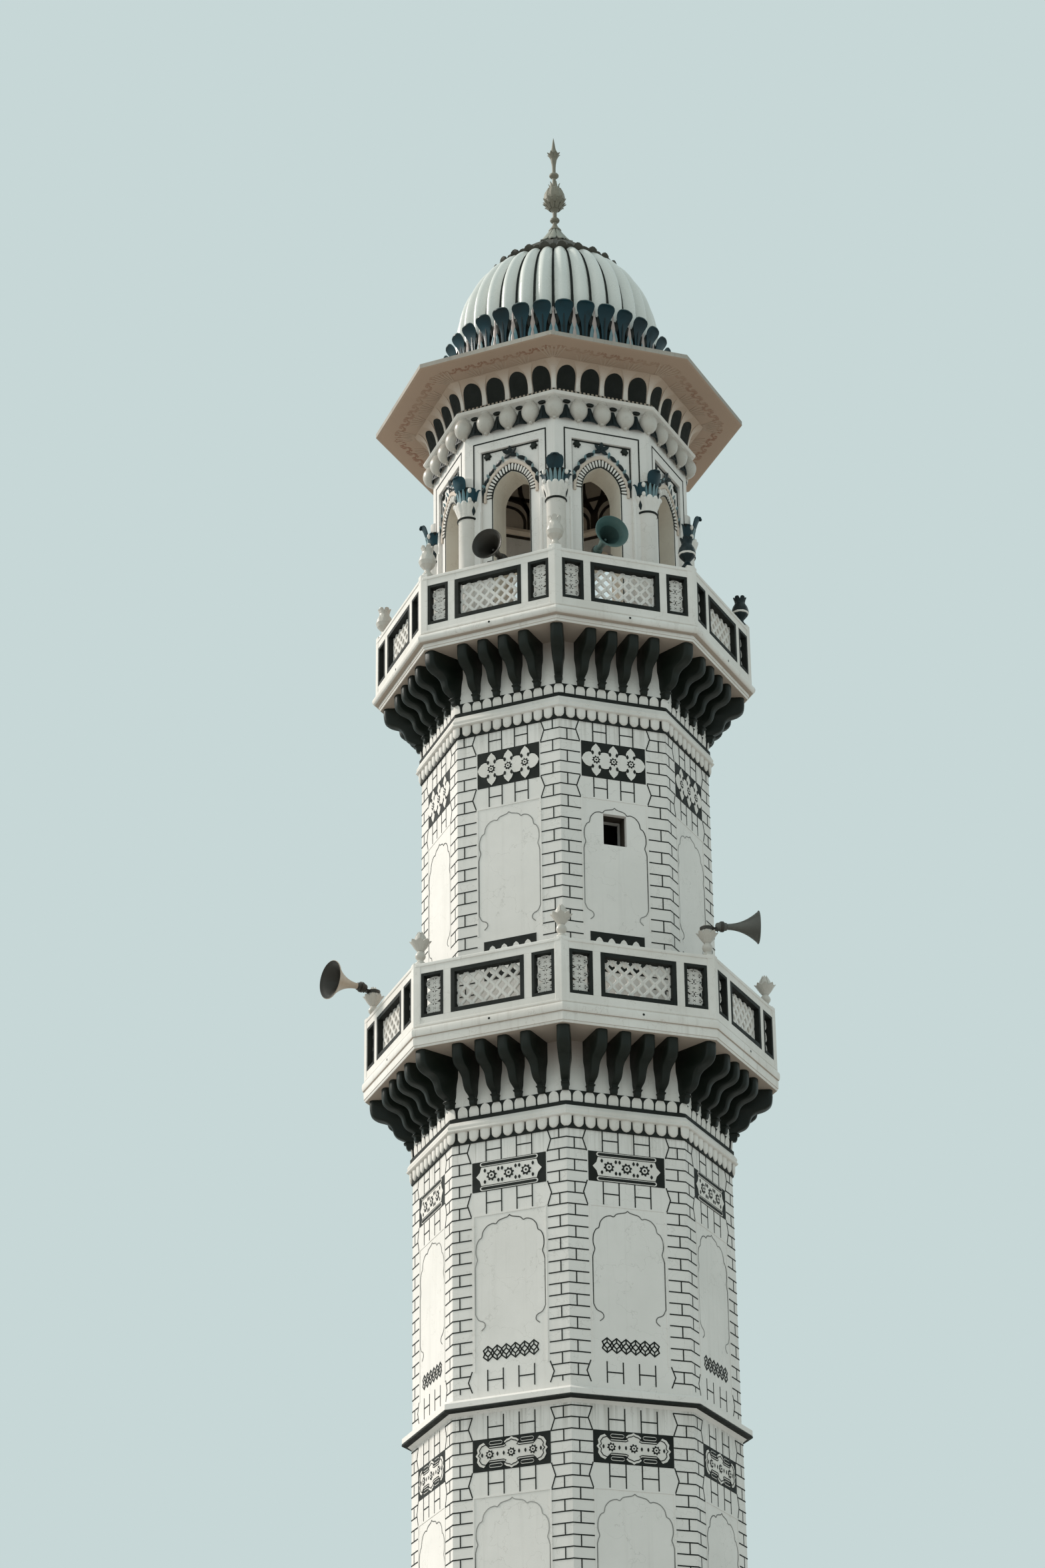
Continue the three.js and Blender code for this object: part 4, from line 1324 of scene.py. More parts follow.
def lantern_walls():
    """Eight walls, each with a pointed opening; the outer layer frames a shallow recess."""
    open_half = OPENING[0]
    outline = [(-INNER_HALF, LANTERN_FLOOR), (-open_half, LANTERN_FLOOR)] + arch_path(OPENING)
    outline += [(open_half, LANTERN_FLOOR), (INNER_HALF, LANTERN_FLOOR)]
    outline += [(INNER_HALF, LANTERN_TOP), (-INNER_HALF, LANTERN_TOP)]
    face = LANTERN_OUT - RECESS
    wall = plate(outline, face, face - LANTERN_IN)
    edit(wall)
    for side in (-1, 1):
        pick(wall, lambda corner: corner.x * side > INNER_HALF - TINY and corner.y < TINY - face)
        bpy.ops.transform.translate(value=(side * (LANTERN_HALF - 0.02 - INNER_HALF), 0, 0))
    close_up(wall)
    surround = [
        (-LANTERN_HALF, LANTERN_FLOOR), (-RECESS_HALF, LANTERN_FLOOR), (-RECESS_HALF, RECESS_TOP),
        (RECESS_HALF, RECESS_TOP), (RECESS_HALF, LANTERN_FLOOR), (LANTERN_HALF, LANTERN_FLOOR),
        (LANTERN_HALF, LANTERN_TOP), (-LANTERN_HALF, LANTERN_TOP),
    ]
    pieces = [wall, bevelled(plate(surround, LANTERN_OUT, RECESS + 0.01), 0.006, 2)]
    foot = LANTERN_FLOOR + 0.12
    for side in (-1, 1):
        for first, last, low, high, out, thick in (
            (0.478, 0.520, foot, 28.12, 0.014, 0.03),
            (0.600, 0.645, foot, 28.12, 0.016, 0.03),
            (0.31, LANTERN_HALF, LANTERN_FLOOR, foot + 0.02, 0.02, 0.07),
        ):
            left, right = sorted((side * first, side * last))
            pieces.append(bar(left, right, low, high, LANTERN_OUT + out, thick, 0.008))
    replaced = ["lantern_wall_%d" % k for k in range(1, 9)]
    all_round(joined(pieces), WHITE, "lantern_walls", replaced)
    half, rise = OPENING
    band = arch_band((half - 0.006, rise - 0.006), (half + 0.004, rise + 0.004), LANTERN_FLOOR + 0.02)
    lining = plate(band, face - 0.004, face - LANTERN_IN - 0.01)
    # The reveal's darker, warmer colour is painted shade.
    all_round(lining, REVEAL, "arch_linings")


def frame_lines():
    """Black lines round the recess, inside it, and up the sides of the opening."""
    outer = strips(doorway(0.585, 28.20, 29.27), 0.020, LANTERN_OUT, 0.005)
    inner = strips(doorway(0.462, 28.30, 29.112), 0.022, LANTERN_OUT - RECESS + 0.003, 0.006)
    opening = [((side * 0.309, LANTERN_FLOOR + 0.15), (side * 0.309, SPRINGING)) for side in (-1, 1)]
    jambs = strips(opening, 0.014, LANTERN_OUT - RECESS + 0.002, 0.005)
    all_round(joined([outer, inner, jambs]), BLACK, "lantern_frame_lines")


def stand(x, z, way, out, wide=1.0, high=1.0):
    """Sets a piece that rises from the origin at a place on the front, sized and leaning by way."""
    size = Matrix.Diagonal((wide, 1, high, 1))
    return shift(x, -out, z) @ Matrix.Rotation(way, 4, "Y") @ size


TOOTH = [
    (0.0, 0.0), (0.34, 0.0), (0.36, 0.15), (0.46, 0.55), (0.50, 0.78), (0.40, 0.93), (0.16, 1.0), (0.0, 1.0),
]
TEETH = 12  # on each half of an arch


def arch_surround():
    """Rounded teeth on a dark ring round the arch, and a plain band outside them."""
    face = LANTERN_OUT - RECESS
    ring = plate(arch_band(OPENING, TEETH_OUT), face + 0.006, 0.012)
    all_round(ring, BLACK, "arch_dark_ring")
    band = plate(arch_band(TEETH_OUT, BAND_OUT, SPRINGING - 0.06), face + 0.030, 0.036)
    all_round(bevelled(band, 0.010, 2), ARCH_BAND, "arch_bands")
    moves = []
    for side in (-1, 1):
        for k in range(TEETH):
            x0, z0 = arch_point(TEETH_IN, (k + 0.5) / TEETH, side)
            x1, z1 = arch_point(TEETH_OUT, (k + 0.5) / TEETH, side)
            across, up = x1 - x0, z1 - z0
            moves.append(stand(x0, z0, math.atan2(across, up), face + 0.022, 0.034, math.hypot(across, up)))
    teeth = bevelled(copies(plate(both_sides(TOOTH), 0.0, 0.020), moves), 0.005, 1)
    all_round(teeth, TRIM, "arch_petals")


def garland():
    """Dark and pale leaves by turns outside the arch band, with three more over its apex."""
    face = LANTERN_OUT - RECESS
    half, rise = GARLAND
    radius = (half * half + rise * rise) / (2 * half)
    dark_moves, pale_moves = [], []
    for side in (-1, 1):
        for k in range(9):
            along = 0.14 + 0.80 * k / 8
            x, z = arch_point(GARLAND, along, side)
            way = -side * math.asin(rise / radius) * along
            if k % 2 == 0:
                dark_moves.append(stand(x, z, way - side * 0.30, face + 0.004))
            else:
                pale_moves.append(stand(x, z, way + side * 0.9, face + 0.004))
    for way in (-1.15, 0.0, 1.15):
        dark_moves.append(stand(0.055 * math.sin(way), 29.02 + 0.03 * math.cos(way), way, face + 0.012))
    blade = [(-0.065, 0.010, 0.0), (-0.03, 0.030, 0.02), (0.01, 0.036, 0.036), (0.045, 0.026, 0.046)]
    blade += [(0.068, 0.006, 0.050)]
    small = [(z * 0.62, wide * 0.62, out) for z, wide, out in blade]
    dark = smoothed(copies(leaf(blade, cup=0.3, thick=0.010), dark_moves))
    pale = smoothed(copies(leaf(small, cup=0.3, thick=0.010), pale_moves))
    all_round(dark, DARK_TEAL, "arch_garland")
    all_round(pale, PALE_TEAL, "arch_garland_pale")


def spandrel_flowers():
    """A knob with six petals on each side of the apex."""
    face = LANTERN_OUT - RECESS
    marks = []
    for side in (-1, 1):
        marks.append(bevelled(plate(disc(side * 0.375, 29.045, 0.046, 12), face + 0.034, 0.04), 0.012, 2))
        for x, z in disc(side * 0.375, 29.045, 0.044, 6):
            marks.append(plate(disc(x, z, 0.018, 8), face + 0.018, 0.02))
    all_round(joined(marks), CORBEL, "spandrel_flowers")


COLUMN_SEAT = shift(0, -1.862, 0)  # from the tower's axis to that of a corner column


def on_columns(obj, finish, name):
    """Sets a piece round the tower, once at each corner column."""
    scatter(moved(obj, COLUMN_SEAT), CORNERS, finish, name)


def columns():
    """Engaged corner columns with a moulded foot and a flared gadrooned neck."""
    profile = [(0.170, LANTERN_FLOOR), (0.170, 25.90), (0.158, 25.92), (0.164, 25.945), (0.150, 25.97)]
    profile += [(0.140, 25.99), (0.140, 28.00), (0.148, 28.012), (0.148, 28.05), (0.142, 28.06)]
    profile += [(0.146, 28.09), (0.160, 28.15), (0.186, 28.24), (0.180, 28.262), (0.10, 28.27)]
    profile += [(0.10, 28.72), (0.0, 28.73)]
    column = smoothed(turned_form(profile, 28), 35)
    rows = [
        (28.065, 0.030, 0.146), (28.14, 0.040, 0.164), (28.21, 0.049, 0.190), (28.255, 0.048, 0.206),
        (28.285, 0.030, 0.208), (28.295, 0.008, 0.204),
    ]
    neck = smoothed(copies(leaf(rows, cup=0.35), ring_of(12)))
    on_columns(joined([column, neck]), TRIM, "lantern_columns")
    ring = [(0.13, 28.012), (0.158, 28.014), (0.164, 28.03), (0.158, 28.046), (0.13, 28.048)]
    on_columns(smoothed(turned_form(ring, 28, True)), BLACK, "column_dark_rings")


def capitals():
    """A dark core with pale stalks under a hood of teal leaves, hanging leaves and pearls."""
    profile = [(0.14, 28.27), (0.135, 28.38), (0.150, 28.48), (0.165, 28.53), (0.12, 28.56), (0.0, 28.57)]
    core = turned_form(profile, 20)
    rows = [(28.27, 0.024, 0.152), (28.36, 0.026, 0.156), (28.44, 0.022, 0.166), (28.50, 0.010, 0.180)]
    stalks = copies(leaf(rows, cup=0.2, thick=0.010), [turn(24 * k) for k in range(-2, 3)])
    on_columns(smoothed(core), BLACK, "capital_cores")
    on_columns(smoothed(stalks), PALE_TEAL, "capital_stalks")
    rows = [
        (28.23, 0.040, 0.165), (28.30, 0.058, 0.178), (28.38, 0.062, 0.192), (28.45, 0.050, 0.210),
        (28.485, 0.030, 0.226), (28.475, 0.006, 0.234),
    ]
    sides = copies(leaf(rows, cup=0.3, thick=0.014), [turn(a) for a in (-100, -70, 70, 100)])
    rows = [
        (28.500, 0.086, 0.165), (28.53, 0.110, 0.182), (28.58, 0.124, 0.200), (28.63, 0.128, 0.216),
        (28.665, 0.122, 0.232), (28.688, 0.102, 0.246), (28.690, 0.070, 0.256), (28.676, 0.030, 0.260),
    ]
    hood = leaf(rows, across=6, cup=0.35, thick=0.016)
    on_columns(smoothed(joined([sides, hood])), TEAL, "capital_leaves")
    rows = [(28.08, 0.008, 0.150), (28.14, 0.034, 0.168), (28.22, 0.040, 0.186), (28.30, 0.030, 0.186)]
    rows += [(28.36, 0.012, 0.172)]
    hanging = copies(leaf(rows, cup=0.3), [turn(a) for a in (-82, 82)])
    on_columns(smoothed(hanging), DARK_TEAL, "capital_drops")
    bead = [(0.0, -0.045), (0.018, -0.036), (0.028, -0.014), (0.030, 0.009), (0.021, 0.034), (0.0, 0.045)]
    pearl = moved(turned_form([(r, 28.30 + z) for r, z in bead], 10), shift(0, -0.200, 0))
    pearls = copies(pearl, [shift(0, 0, rise) @ turn(a) for rise in (0, 0.16) for a in (-56, 56)])
    on_columns(smoothed(pearls), TRIM, "capital_pearls")


CORNICE_PITCH = LANTERN_HALF * 2 / 4  # four bays of the cornice on each side


def lantern_cornice():
    """A moulding with hanging bulbs, bell leaves between them, and a row of dentils on top."""
    ring = [
        (LANTERN_BORE, LANTERN_TOP), (LANTERN_CORNER, LANTERN_TOP), (1.925, 29.70), (1.985, 29.735),
        (2.055, 29.755), (2.075, 29.775), (2.075, 29.80), (2.045, 29.822), (1.985, CORNICE_TOP),
        (LANTERN_BORE, CORNICE_TOP),
    ]
    octagon_ring(ring, TRIM, "cornice_ring", ["lantern_cornice"])
    profile = [
        (0.0, 29.385), (0.026, 29.388), (0.030, 29.412), (0.070, 29.428), (0.118, 29.485), (0.138, 29.560),
        (0.130, 29.630), (0.095, 29.690), (0.070, 29.725), (0.085, 29.750), (0.0, 29.760),
    ]
    bulb = smoothed(turned_form(curve_through(profile, 2), 18))
    out = LANTERN_OUT + 0.035
    moves = [side @ shift(k * CORNICE_PITCH, -out, 0) for side in SIDES for k in (-1, 0, 1)]
    moves += [corner @ shift(0, -LANTERN_CORNER - 0.02, 0) for corner in CORNERS]
    scatter(bulb, moves, BUD_WHITE, "cornice_bulbs")
    between = [side @ shift(k * CORNICE_PITCH, -LANTERN_OUT, 0) for side in SIDES for k in BAYS]
    rows = [
        (29.405, 0.122, 0.080), (29.425, 0.116, 0.076), (29.465, 0.090, 0.062), (29.52, 0.062, 0.048),
        (29.59, 0.042, 0.034), (29.66, 0.026, 0.022),
    ]
    bell = leaf(rows, cup=0.4, thick=0.014)
    rows = [(29.40, 0.012, 0.085), (29.46, 0.020, 0.075), (29.54, 0.014, 0.055), (29.62, 0.006, 0.045)]
    slip = leaf(rows, cup=0.2)
    place(painted(smoothed(copies(joined([bell, slip]), between)), DARK_TEAL), "cornice_bells")
    eye = plate(disc(0, 29.700, 0.058, 14, 0.46), 0.052, 0.03)
    scatter(eye, between, BLACK, "cornice_eyes")
    backing = [(1.95, 29.831), (2.015, 29.831), (2.010, 29.868), (1.95, 29.868)]
    octagon_ring(backing, BLACK, "dentil_backing")
    corner_out, count = 2.02, 24  # radius of the row of dentils, and how many there are on a side
    half = corner_out * HALF
    tooth = bar(-0.016, 0.016, 29.832, 29.866, corner_out * FLAT, 0.03)
    moves = [side @ shift(half * (2 * (k + 0.5) / count - 1), 0, 0) for side in SIDES for k in range(count)]
    scatter(tooth, moves, DENTIL, "dentils")


COVE_LINE = [
    (1.957, CORNICE_TOP), (1.962, 29.92), (1.972, 30.00), (2.000, 30.10), (2.045, 30.19), (2.110, 30.25),
    (2.21, 30.287),
]
COVE = curve_through(COVE_LINE, 4)


def cove_out(height):
    """How far the cove's flat side stands out at a height."""
    for (r0, z0), (r1, z1) in zip(COVE, COVE[1:]):
        if z0 <= height <= z1:
            return (r0 + (r1 - r0) * (height - z0) / (z1 - z0)) * FLAT
    return COVE[-1][0] * FLAT


def fan(reach, spread, count, out):
    """Rays on the soffit that spread from the head of a cove rib."""
    rays = []
    for k in range(count):
        t = 2 * k / (count - 1) - 1
        rays.append(((t * 0.06, out), (t * spread, out + reach * (1 - 0.18 * t * t))))
    return moved(strips(rays, 0.026, -SOFFIT_LEVEL + 0.001, 0.004), LAID)


def vine(half, out):
    """A faded painted vine on the soffit: a wavy line with leaves to both sides."""
    waves = 9
    path = [(half * t / 40, out + 0.034 * math.sin(math.pi * waves * t / 40)) for t in range(-40, 41)]
    pieces = [strand(path, 0.020, -SOFFIT_LEVEL + 0.003, 0.005)]
    sprig = [(0, 0), (0.014, 0.014), (0.020, 0.034), (0.014, 0.054), (0, 0.072)]
    for k in range(-3 * waves + 1, 3 * waves):
        side = 1 if k % 2 else -1
        outline = both_sides(sprig, half * k / (3 * waves), out + side * 0.014, 0.5 * (k % 3 - 1))
        leafy = [(u, out + side * abs(v - out)) for u, v in outline]
        pieces.append(plate(leafy, -SOFFIT_LEVEL + 0.002, 0.004))
    return moved(joined(pieces), LAID)


def cove_and_eave():
    """Dark niches between ribs that spread on the soffit, and a vine painted along its edge."""
    profile = [(LANTERN_BORE, CORNICE_TOP)] + COVE + [(LANTERN_BORE, COVE[-1][1])]
    octagon_ring(profile, COVE_PLASTER, "cove_body", ["cove"])
    # The eave's underside carries painted warm bounce light from its finish.
    painted(nodes["eave"], SOFFIT)
    niche = [
        (29.868, 0.134), (29.92, 0.139), (29.98, 0.143), (30.04, 0.145), (30.09, 0.144), (30.13, 0.140),
        (30.165, 0.131), (30.195, 0.115), (30.218, 0.090), (30.234, 0.056), (30.242, 0.018),
    ]
    niche = leaf([(z, wide, cove_out(z) + 0.010) for z, wide in niche], thick=0.008)
    pitch = 1.97 * HALF * 2 / 4
    bays = [side @ shift(k * pitch, 0, 0) for side in SIDES for k in BAYS]
    scatter(niche, bays, BLACK, "cove_niches")
    rib = [
        (29.868, 0.036), (29.95, 0.034), (30.03, 0.032), (30.11, 0.034), (30.17, 0.042),
        (30.22, 0.062), (30.255, 0.09), (30.278, 0.12),
    ]
    between = [side @ shift(k * pitch, 0, 0) for side in SIDES for k in (-1, 0, 1)]
    on_side = leaf([(z, wide, cove_out(z) + 0.022) for z, wide in rib], cup=0.15, thick=0.016)
    on_corner = leaf([(z, wide, cove_out(z) / FLAT + 0.010) for z, wide in rib], cup=0.38, thick=0.016)
    ribs = smoothed(joined([copies(on_side, between), copies(on_corner, CORNERS)]))
    place(painted(ribs, COVE_RIB), "cove_ribs")
    scatter(fan(0.20, 0.15, 5, 2.03), between, FAN, "soffit_fans")
    scatter(fan(0.32, 0.20, 7, 2.18), CORNERS, FAN, "corner_fans")
    vine_out = 2.285
    all_round(vine(vine_out * HALF / FLAT, vine_out), ROSE, "soffit_vine")


def lantern_inside():
    """What shows through the arches: a moulding, arch rims and dark branching ribs on the walls."""
    facing_in = turn(180)
    moulding = [(1.42, 29.13), (1.36, 29.14), (1.345, 29.19), (1.36, 29.24), (1.42, 29.25)]
    octagon_ring(moulding, INSIDE_TRIM, "inside_moulding")
    octagon_ring(box_outline(1.42, 29.075, 1.385, 29.12), BROWN, "inside_dark_line")
    # The darker inside lining is partly painted shade.
    octagon_ring(box_outline(1.42, 29.25, 1.393, 30.40), INSIDE, "inside_lining")
    out = 0.020 - LANTERN_IN
    thick = 0.02
    pieces = [strand([(0.0, 29.24), (0.0, 29.58)], 0.115, out, thick)]
    for side in (-1, 1):
        for points, wide in (
            (((0.02, 29.50), (0.07, 29.62), (0.20, 29.72), (INNER_HALF, 29.76)), 0.07),
            (((0.04, 29.56), (0.10, 29.70), (0.17, 29.90), (0.19, 30.28)), 0.07),
            (((0.10, 29.26), (0.11, 29.44), (0.20, 29.56), (0.34, 29.60), (INNER_HALF - 0.02, 29.61)), 0.045),
        ):
            path = curve_through([(side * x, z) for x, z in points], 4)
            pieces.append(strand(path, wide, out, thick))
    pieces.append(strand([(-INNER_HALF, 29.77), (INNER_HALF, 29.77)], 0.06, out, thick))
    all_round(moved(joined(pieces), facing_in), BROWN, "inside_ribs")
    rim = plate(arch_band((0.32, 0.41), (0.42, 0.54), SPRINGING - 0.3), out, thick)
    all_round(moved(rim, facing_in), INSIDE_TRIM, "inside_arch_rims")


# ---- Dome, leaf ring, lotus cap and finial

LOBES = 32
LOBE = math.sin(math.pi / LOBES)  # half the width of a lobe for a radius of 1
DOME_LINE = [
    (1.480, 30.72), (1.492, 31.00), (1.535, 31.30), (1.565, 31.60), (1.567, 31.85), (1.530, 32.12),
    (1.462, 32.36), (1.360, 32.58), (1.225, 32.79), (1.060, 32.96), (0.860, 33.10), (0.600, 33.23),
    (0.300, 33.31),
]


def dome():
    """Rounded glossy lobes over a core that is painted black and shows in the grooves."""
    line = curve_through(DOME_LINE, 2)
    core = turned_form([(radius * 0.935, height - 0.03) for radius, height in line] + [(0.0, 33.30)], 64)
    place(painted(smoothed(core), BLACK), "dome_core", ["dome"])
    rows = [(height, radius * LOBE * 0.80, radius * 1.004) for radius, height in line if radius > 0.7]
    lobe = smoothed(leaf(rows, across=12, cup=0.95, thick=0.02), 50)
    scatter(lobe, ring_of(LOBES, 0.5), DOME, "dome_lobes")


def beside(middle, height, way):
    """Places a little to the left and right of each of the turns, leaning by way."""
    moves = []
    for about in middle:
        for side in (-1, 1):
            moves.append(about @ shift(side * 0.056, 0, height) @ lean(side * way))
    return moves


def leaf_ring():
    """Curled teal leaves in front of the lobes, with spears, hearts, drops and foot leaves between."""
    around, between = ring_of(LOBES, 0.5), ring_of(LOBES)
    wall = [(1.46, 30.73), (1.60, 30.73), (1.60, 30.86), (1.575, 30.90), (1.562, 31.20), (1.556, 31.44)]
    wall += [(1.46, 31.46)]
    place(painted(smoothed(turned_form(wall, 64, True)), BLACK), "leaf_backing", ["leaf_ring"])
    rows = [
        (30.98, 0.040, 1.604), (31.10, 0.042, 1.610), (31.19, 0.048, 1.614), (31.27, 0.060, 1.618),
        (31.335, 0.078, 1.626), (31.39, 0.100, 1.640), (31.44, 0.122, 1.660), (31.485, 0.136, 1.688),
        (31.520, 0.138, 1.716), (31.545, 0.122, 1.740), (31.552, 0.086, 1.756), (31.552, 0.040, 1.762),
    ]
    foliage(rows, around, TEAL, "dome_leaves", "teal_paint", across=6, cup=0.10, thick=0.014)
    rows = [(31.510, 0.138, 1.706), (31.548, 0.128, 1.732), (31.566, 0.098, 1.752), (31.568, 0.046, 1.760)]
    # The lips are paler than the leaves: a painted highlight where they catch the sky.
    foliage(rows, around, LIP_HIGHLIGHT, "dome_leaf_lips", "teal_paint", across=6, cup=0.10)
    rows = [(30.98, 0.010, 1.614), (31.20, 0.012, 1.624), (31.36, 0.010, 1.636), (31.44, 0.004, 1.650)]
    foliage(rows, around, DARK_TEAL, "dome_leaf_spines", "teal_paint", across=2)
    rows = [
        (31.10, 0.010, 1.600), (31.16, 0.030, 1.612), (31.22, 0.040, 1.620), (31.29, 0.036, 1.620),
        (31.36, 0.022, 1.616), (31.44, 0.014, 1.610), (31.50, 0.020, 1.606), (31.54, 0.006, 1.600),
    ]
    foliage(rows, between, SPEAR, "dome_spears", "plaster", cup=0.5)
    rows = [
        (0.0, 0.006, 1.600), (0.05, 0.022, 1.612), (0.12, 0.034, 1.620), (0.19, 0.030, 1.618),
        (0.25, 0.008, 1.606),
    ]
    foliage(rows, beside(between, 31.22, 7), BLACK, "dome_leaf_drops", "dark_paint", cup=0.5)
    rows = [
        (0.0, 0.026, 1.604), (0.12, 0.034, 1.618), (0.22, 0.034, 1.622), (0.30, 0.024, 1.616),
        (0.38, 0.004, 1.606),
    ]
    foliage(rows, beside(between, 30.88, -4), PALE_TEAL, "dome_foot_leaves", "teal_paint", cup=0.5)
    rows = [
        (30.88, 0.020, 1.612), (31.00, 0.030, 1.628), (31.08, 0.026, 1.632), (31.15, 0.014, 1.626),
        (31.20, 0.003, 1.616),
    ]
    foliage(rows, between, SPEAR, "dome_foot_hearts", "plaster", cup=0.4)


def lotus_cap():
    """A cone with two rows of drooping petals on its rim, and a small crown of leaves round the finial."""
    slope = [(0.86, 33.13), (0.66, 33.30), (0.45, 33.47), (0.28, 33.64), (0.16, 33.80), (0.095, 33.92)]
    profile = [(0.0, 33.065), (0.86, 33.07), (0.90, 33.09)] + curve_through(slope, 2) + [(0.0, 33.95)]
    rows = [
        (33.46, 0.070, 0.50), (33.33, 0.100, 0.655), (33.20, 0.126, 0.80), (33.09, 0.136, 0.890),
        (33.045, 0.128, 0.925), (33.030, 0.112, 0.950), (33.045, 0.098, 0.970), (33.080, 0.074, 0.980),
        (33.108, 0.030, 0.982),
    ]
    under_rows = [
        (33.25, 0.090, 0.72), (33.09, 0.120, 0.860), (33.030, 0.112, 0.905), (33.025, 0.096, 0.935),
        (33.055, 0.074, 0.950), (33.085, 0.030, 0.956),
    ]
    rows, under_rows = ([(z, half * 0.84, out) for z, half, out in each] for each in (rows, under_rows))
    outer = copies(leaf(rows, cup=-0.16, thick=0.026), ring_of(24))
    under = copies(leaf(under_rows, cup=-0.1, thick=0.024), ring_of(24, 0.5))
    petals = joined([smoothed(piece) for piece in (turned_form(profile, 40), outer, under)])
    place(painted(petals, LOTUS), "lotus_petals", ["lotus_cap"])
    rows = [
        (33.70, 0.034, 0.225), (33.60, 0.058, 0.300), (33.53, 0.064, 0.365), (33.505, 0.046, 0.405),
        (33.53, 0.008, 0.430),
    ]
    foliage(rows, ring_of(12, 0.5), LOTUS, "lotus_crown_tips", "finial_paint", cup=-0.2, thick=0.018)
    rows = [
        (33.945, 0.016, 0.085), (33.84, 0.034, 0.155), (33.74, 0.056, 0.225), (33.66, 0.064, 0.290),
        (33.62, 0.040, 0.335), (33.615, 0.008, 0.355),
    ]
    foliage(rows, ring_of(12), LOTUS_PALE, "lotus_crown", "finial_paint", cup=0.25, thick=0.018)


def finial():
    """A turned stem with two rings, a leafed bulb and a leafed vase with a spike."""
    foot = [(0.0, 33.93), (0.100, 33.935), (0.085, 33.97), (0.050, 34.02), (0.034, 34.07), (0.034, 34.10)]
    ring = [(0.055, 34.108), (0.074, 34.128), (0.076, 34.148), (0.064, 34.168), (0.040, 34.182)]
    bulb = [
        (0.034, 34.29), (0.050, 34.315), (0.098, 34.375), (0.140, 34.440), (0.158, 34.510), (0.160, 34.570),
        (0.146, 34.640), (0.110, 34.710), (0.066, 34.760), (0.050, 34.79), (0.032, 34.83), (0.028, 34.93),
    ]
    vase = [
        (0.028, 35.10), (0.034, 35.20), (0.056, 35.32), (0.078, 35.385), (0.064, 35.42), (0.040, 35.47),
        (0.024, 35.56), (0.010, 35.66), (0.0, 35.71),
    ]
    ring_apart = 0.842
    profile = curve_through(foot, 2) + ring + [(0.033, 34.21), (0.033, 34.28)] + curve_through(bulb, 2)
    profile += [(r, z + ring_apart) for r, z in ring] + [(0.029, 35.045)] + curve_through(vase, 2)
    pieces = [smoothed(turned_form(profile, 16), 25)]
    for moves, cup, thick, rows in (
        (
            ring_of(10), 0.3, 0.012,
            [(34.34, 0.020, 0.088), (34.39, 0.034, 0.130), (34.425, 0.028, 0.160), (34.440, 0.004, 0.188)],
        ),
        (
            ring_of(10, 0.5), 0.3, 0.012,
            [(34.42, 0.022, 0.135), (34.465, 0.032, 0.156), (34.495, 0.024, 0.174), (34.515, 0.004, 0.192)],
        ),
        (
            ring_of(6), 0.3, 0.010,
            [(34.70, 0.026, 0.116), (34.755, 0.028, 0.084), (34.80, 0.018, 0.082), (34.835, 0.003, 0.096)],
        ),
        (
            ring_of(10), 0.4, 0.010,
            [(34.50, 0.034, 0.160), (34.57, 0.038, 0.168), (34.64, 0.032, 0.156), (34.71, 0.014, 0.122)],
        ),
        (
            ring_of(8), 0.3, 0.008,
            [(35.31, 0.020, 0.056), (35.36, 0.024, 0.078), (35.39, 0.016, 0.098), (35.400, 0.003, 0.112)],
        ),
    ):
        pieces.append(smoothed(copies(leaf(rows, cup=cup, thick=thick), moves)))
    place(painted(joined(pieces), FINIAL), "finial_leaves", ["finial"])


# ---- Horn loudspeakers


def bell(mouth, length, outside, inside, deep):
    """A flared bell, drawn up from a throat at the origin; its inside and its depth are finished apart."""
    throat = 0.042
    flare = [(throat + (mouth - throat) * (i / 14) ** 2.2, i / 14 * length) for i in range(15)]
    lip = [
        (mouth + 0.006, length - 0.002), (mouth + 0.008, length + 0.006), (mouth + 0.002, length + 0.011),
        (mouth - 0.008, length + 0.006),
    ]
    lining = [(r - 0.012, z + (0.010 if z < length * 0.97 else 0.0)) for r, z in flare[::-1]]
    body = turned_form([(0.0, 0.0)] + flare + lip + lining + [(0.0, 0.010)], 36)
    painted(body, outside)
    body.data.materials.append(inside)
    body.data.materials.append(deep)
    for face in body.data.polygons:
        centre, normal = face.center, face.normal
        facing_in = normal.x * centre.x + normal.y * centre.y < 0
        # Faces deep in the throat take the depth finish, which on the teal horn is painted shade.
        if facing_in and centre.z > 0.006:
            face.material_index = 1 if math.hypot(centre.x, centre.y) > mouth * 0.62 else 2
    return smoothed(body, 50)


def driver(finish):
    """The driver behind a bell: a can with a ribbed middle and a domed end cap."""
    profile = [
        (0.0, -0.152), (0.030, -0.150), (0.046, -0.142), (0.056, -0.125), (0.058, -0.100), (0.066, -0.094),
        (0.068, -0.080), (0.062, -0.074), (0.062, -0.050), (0.067, -0.044), (0.067, -0.030), (0.058, -0.024),
        (0.054, 0.004), (0.044, 0.012), (0.0, 0.014),
    ]
    return painted(smoothed(turned_form(profile, 28), 40), finish)


def horn(mouth, length, outside, inside, deep):
    """A horn loudspeaker laid flat, its mouth towards -Y and its driver behind it."""
    middle = length * 0.5
    profile = [(0.0, 0.006), (0.022, 0.006), (0.022, middle), (0.016, middle + 0.01), (0.0, middle + 0.012)]
    plug = painted(smoothed(turned_form(profile, 16)), inside)
    return moved(joined([bell(mouth, length, outside, inside, deep), driver(inside), plug]), LAID)


def hoop(inner, outer, low, high):
    """A plain round band."""
    return turned_form(box_outline(inner, low, outer, high), 24, True)


def bolt(x, y, bottom, top):
    """A small six-sided bolt."""
    return moved(turned_form(box_outline(0.0, bottom, 0.010, top), 6), shift(x, y, 0))


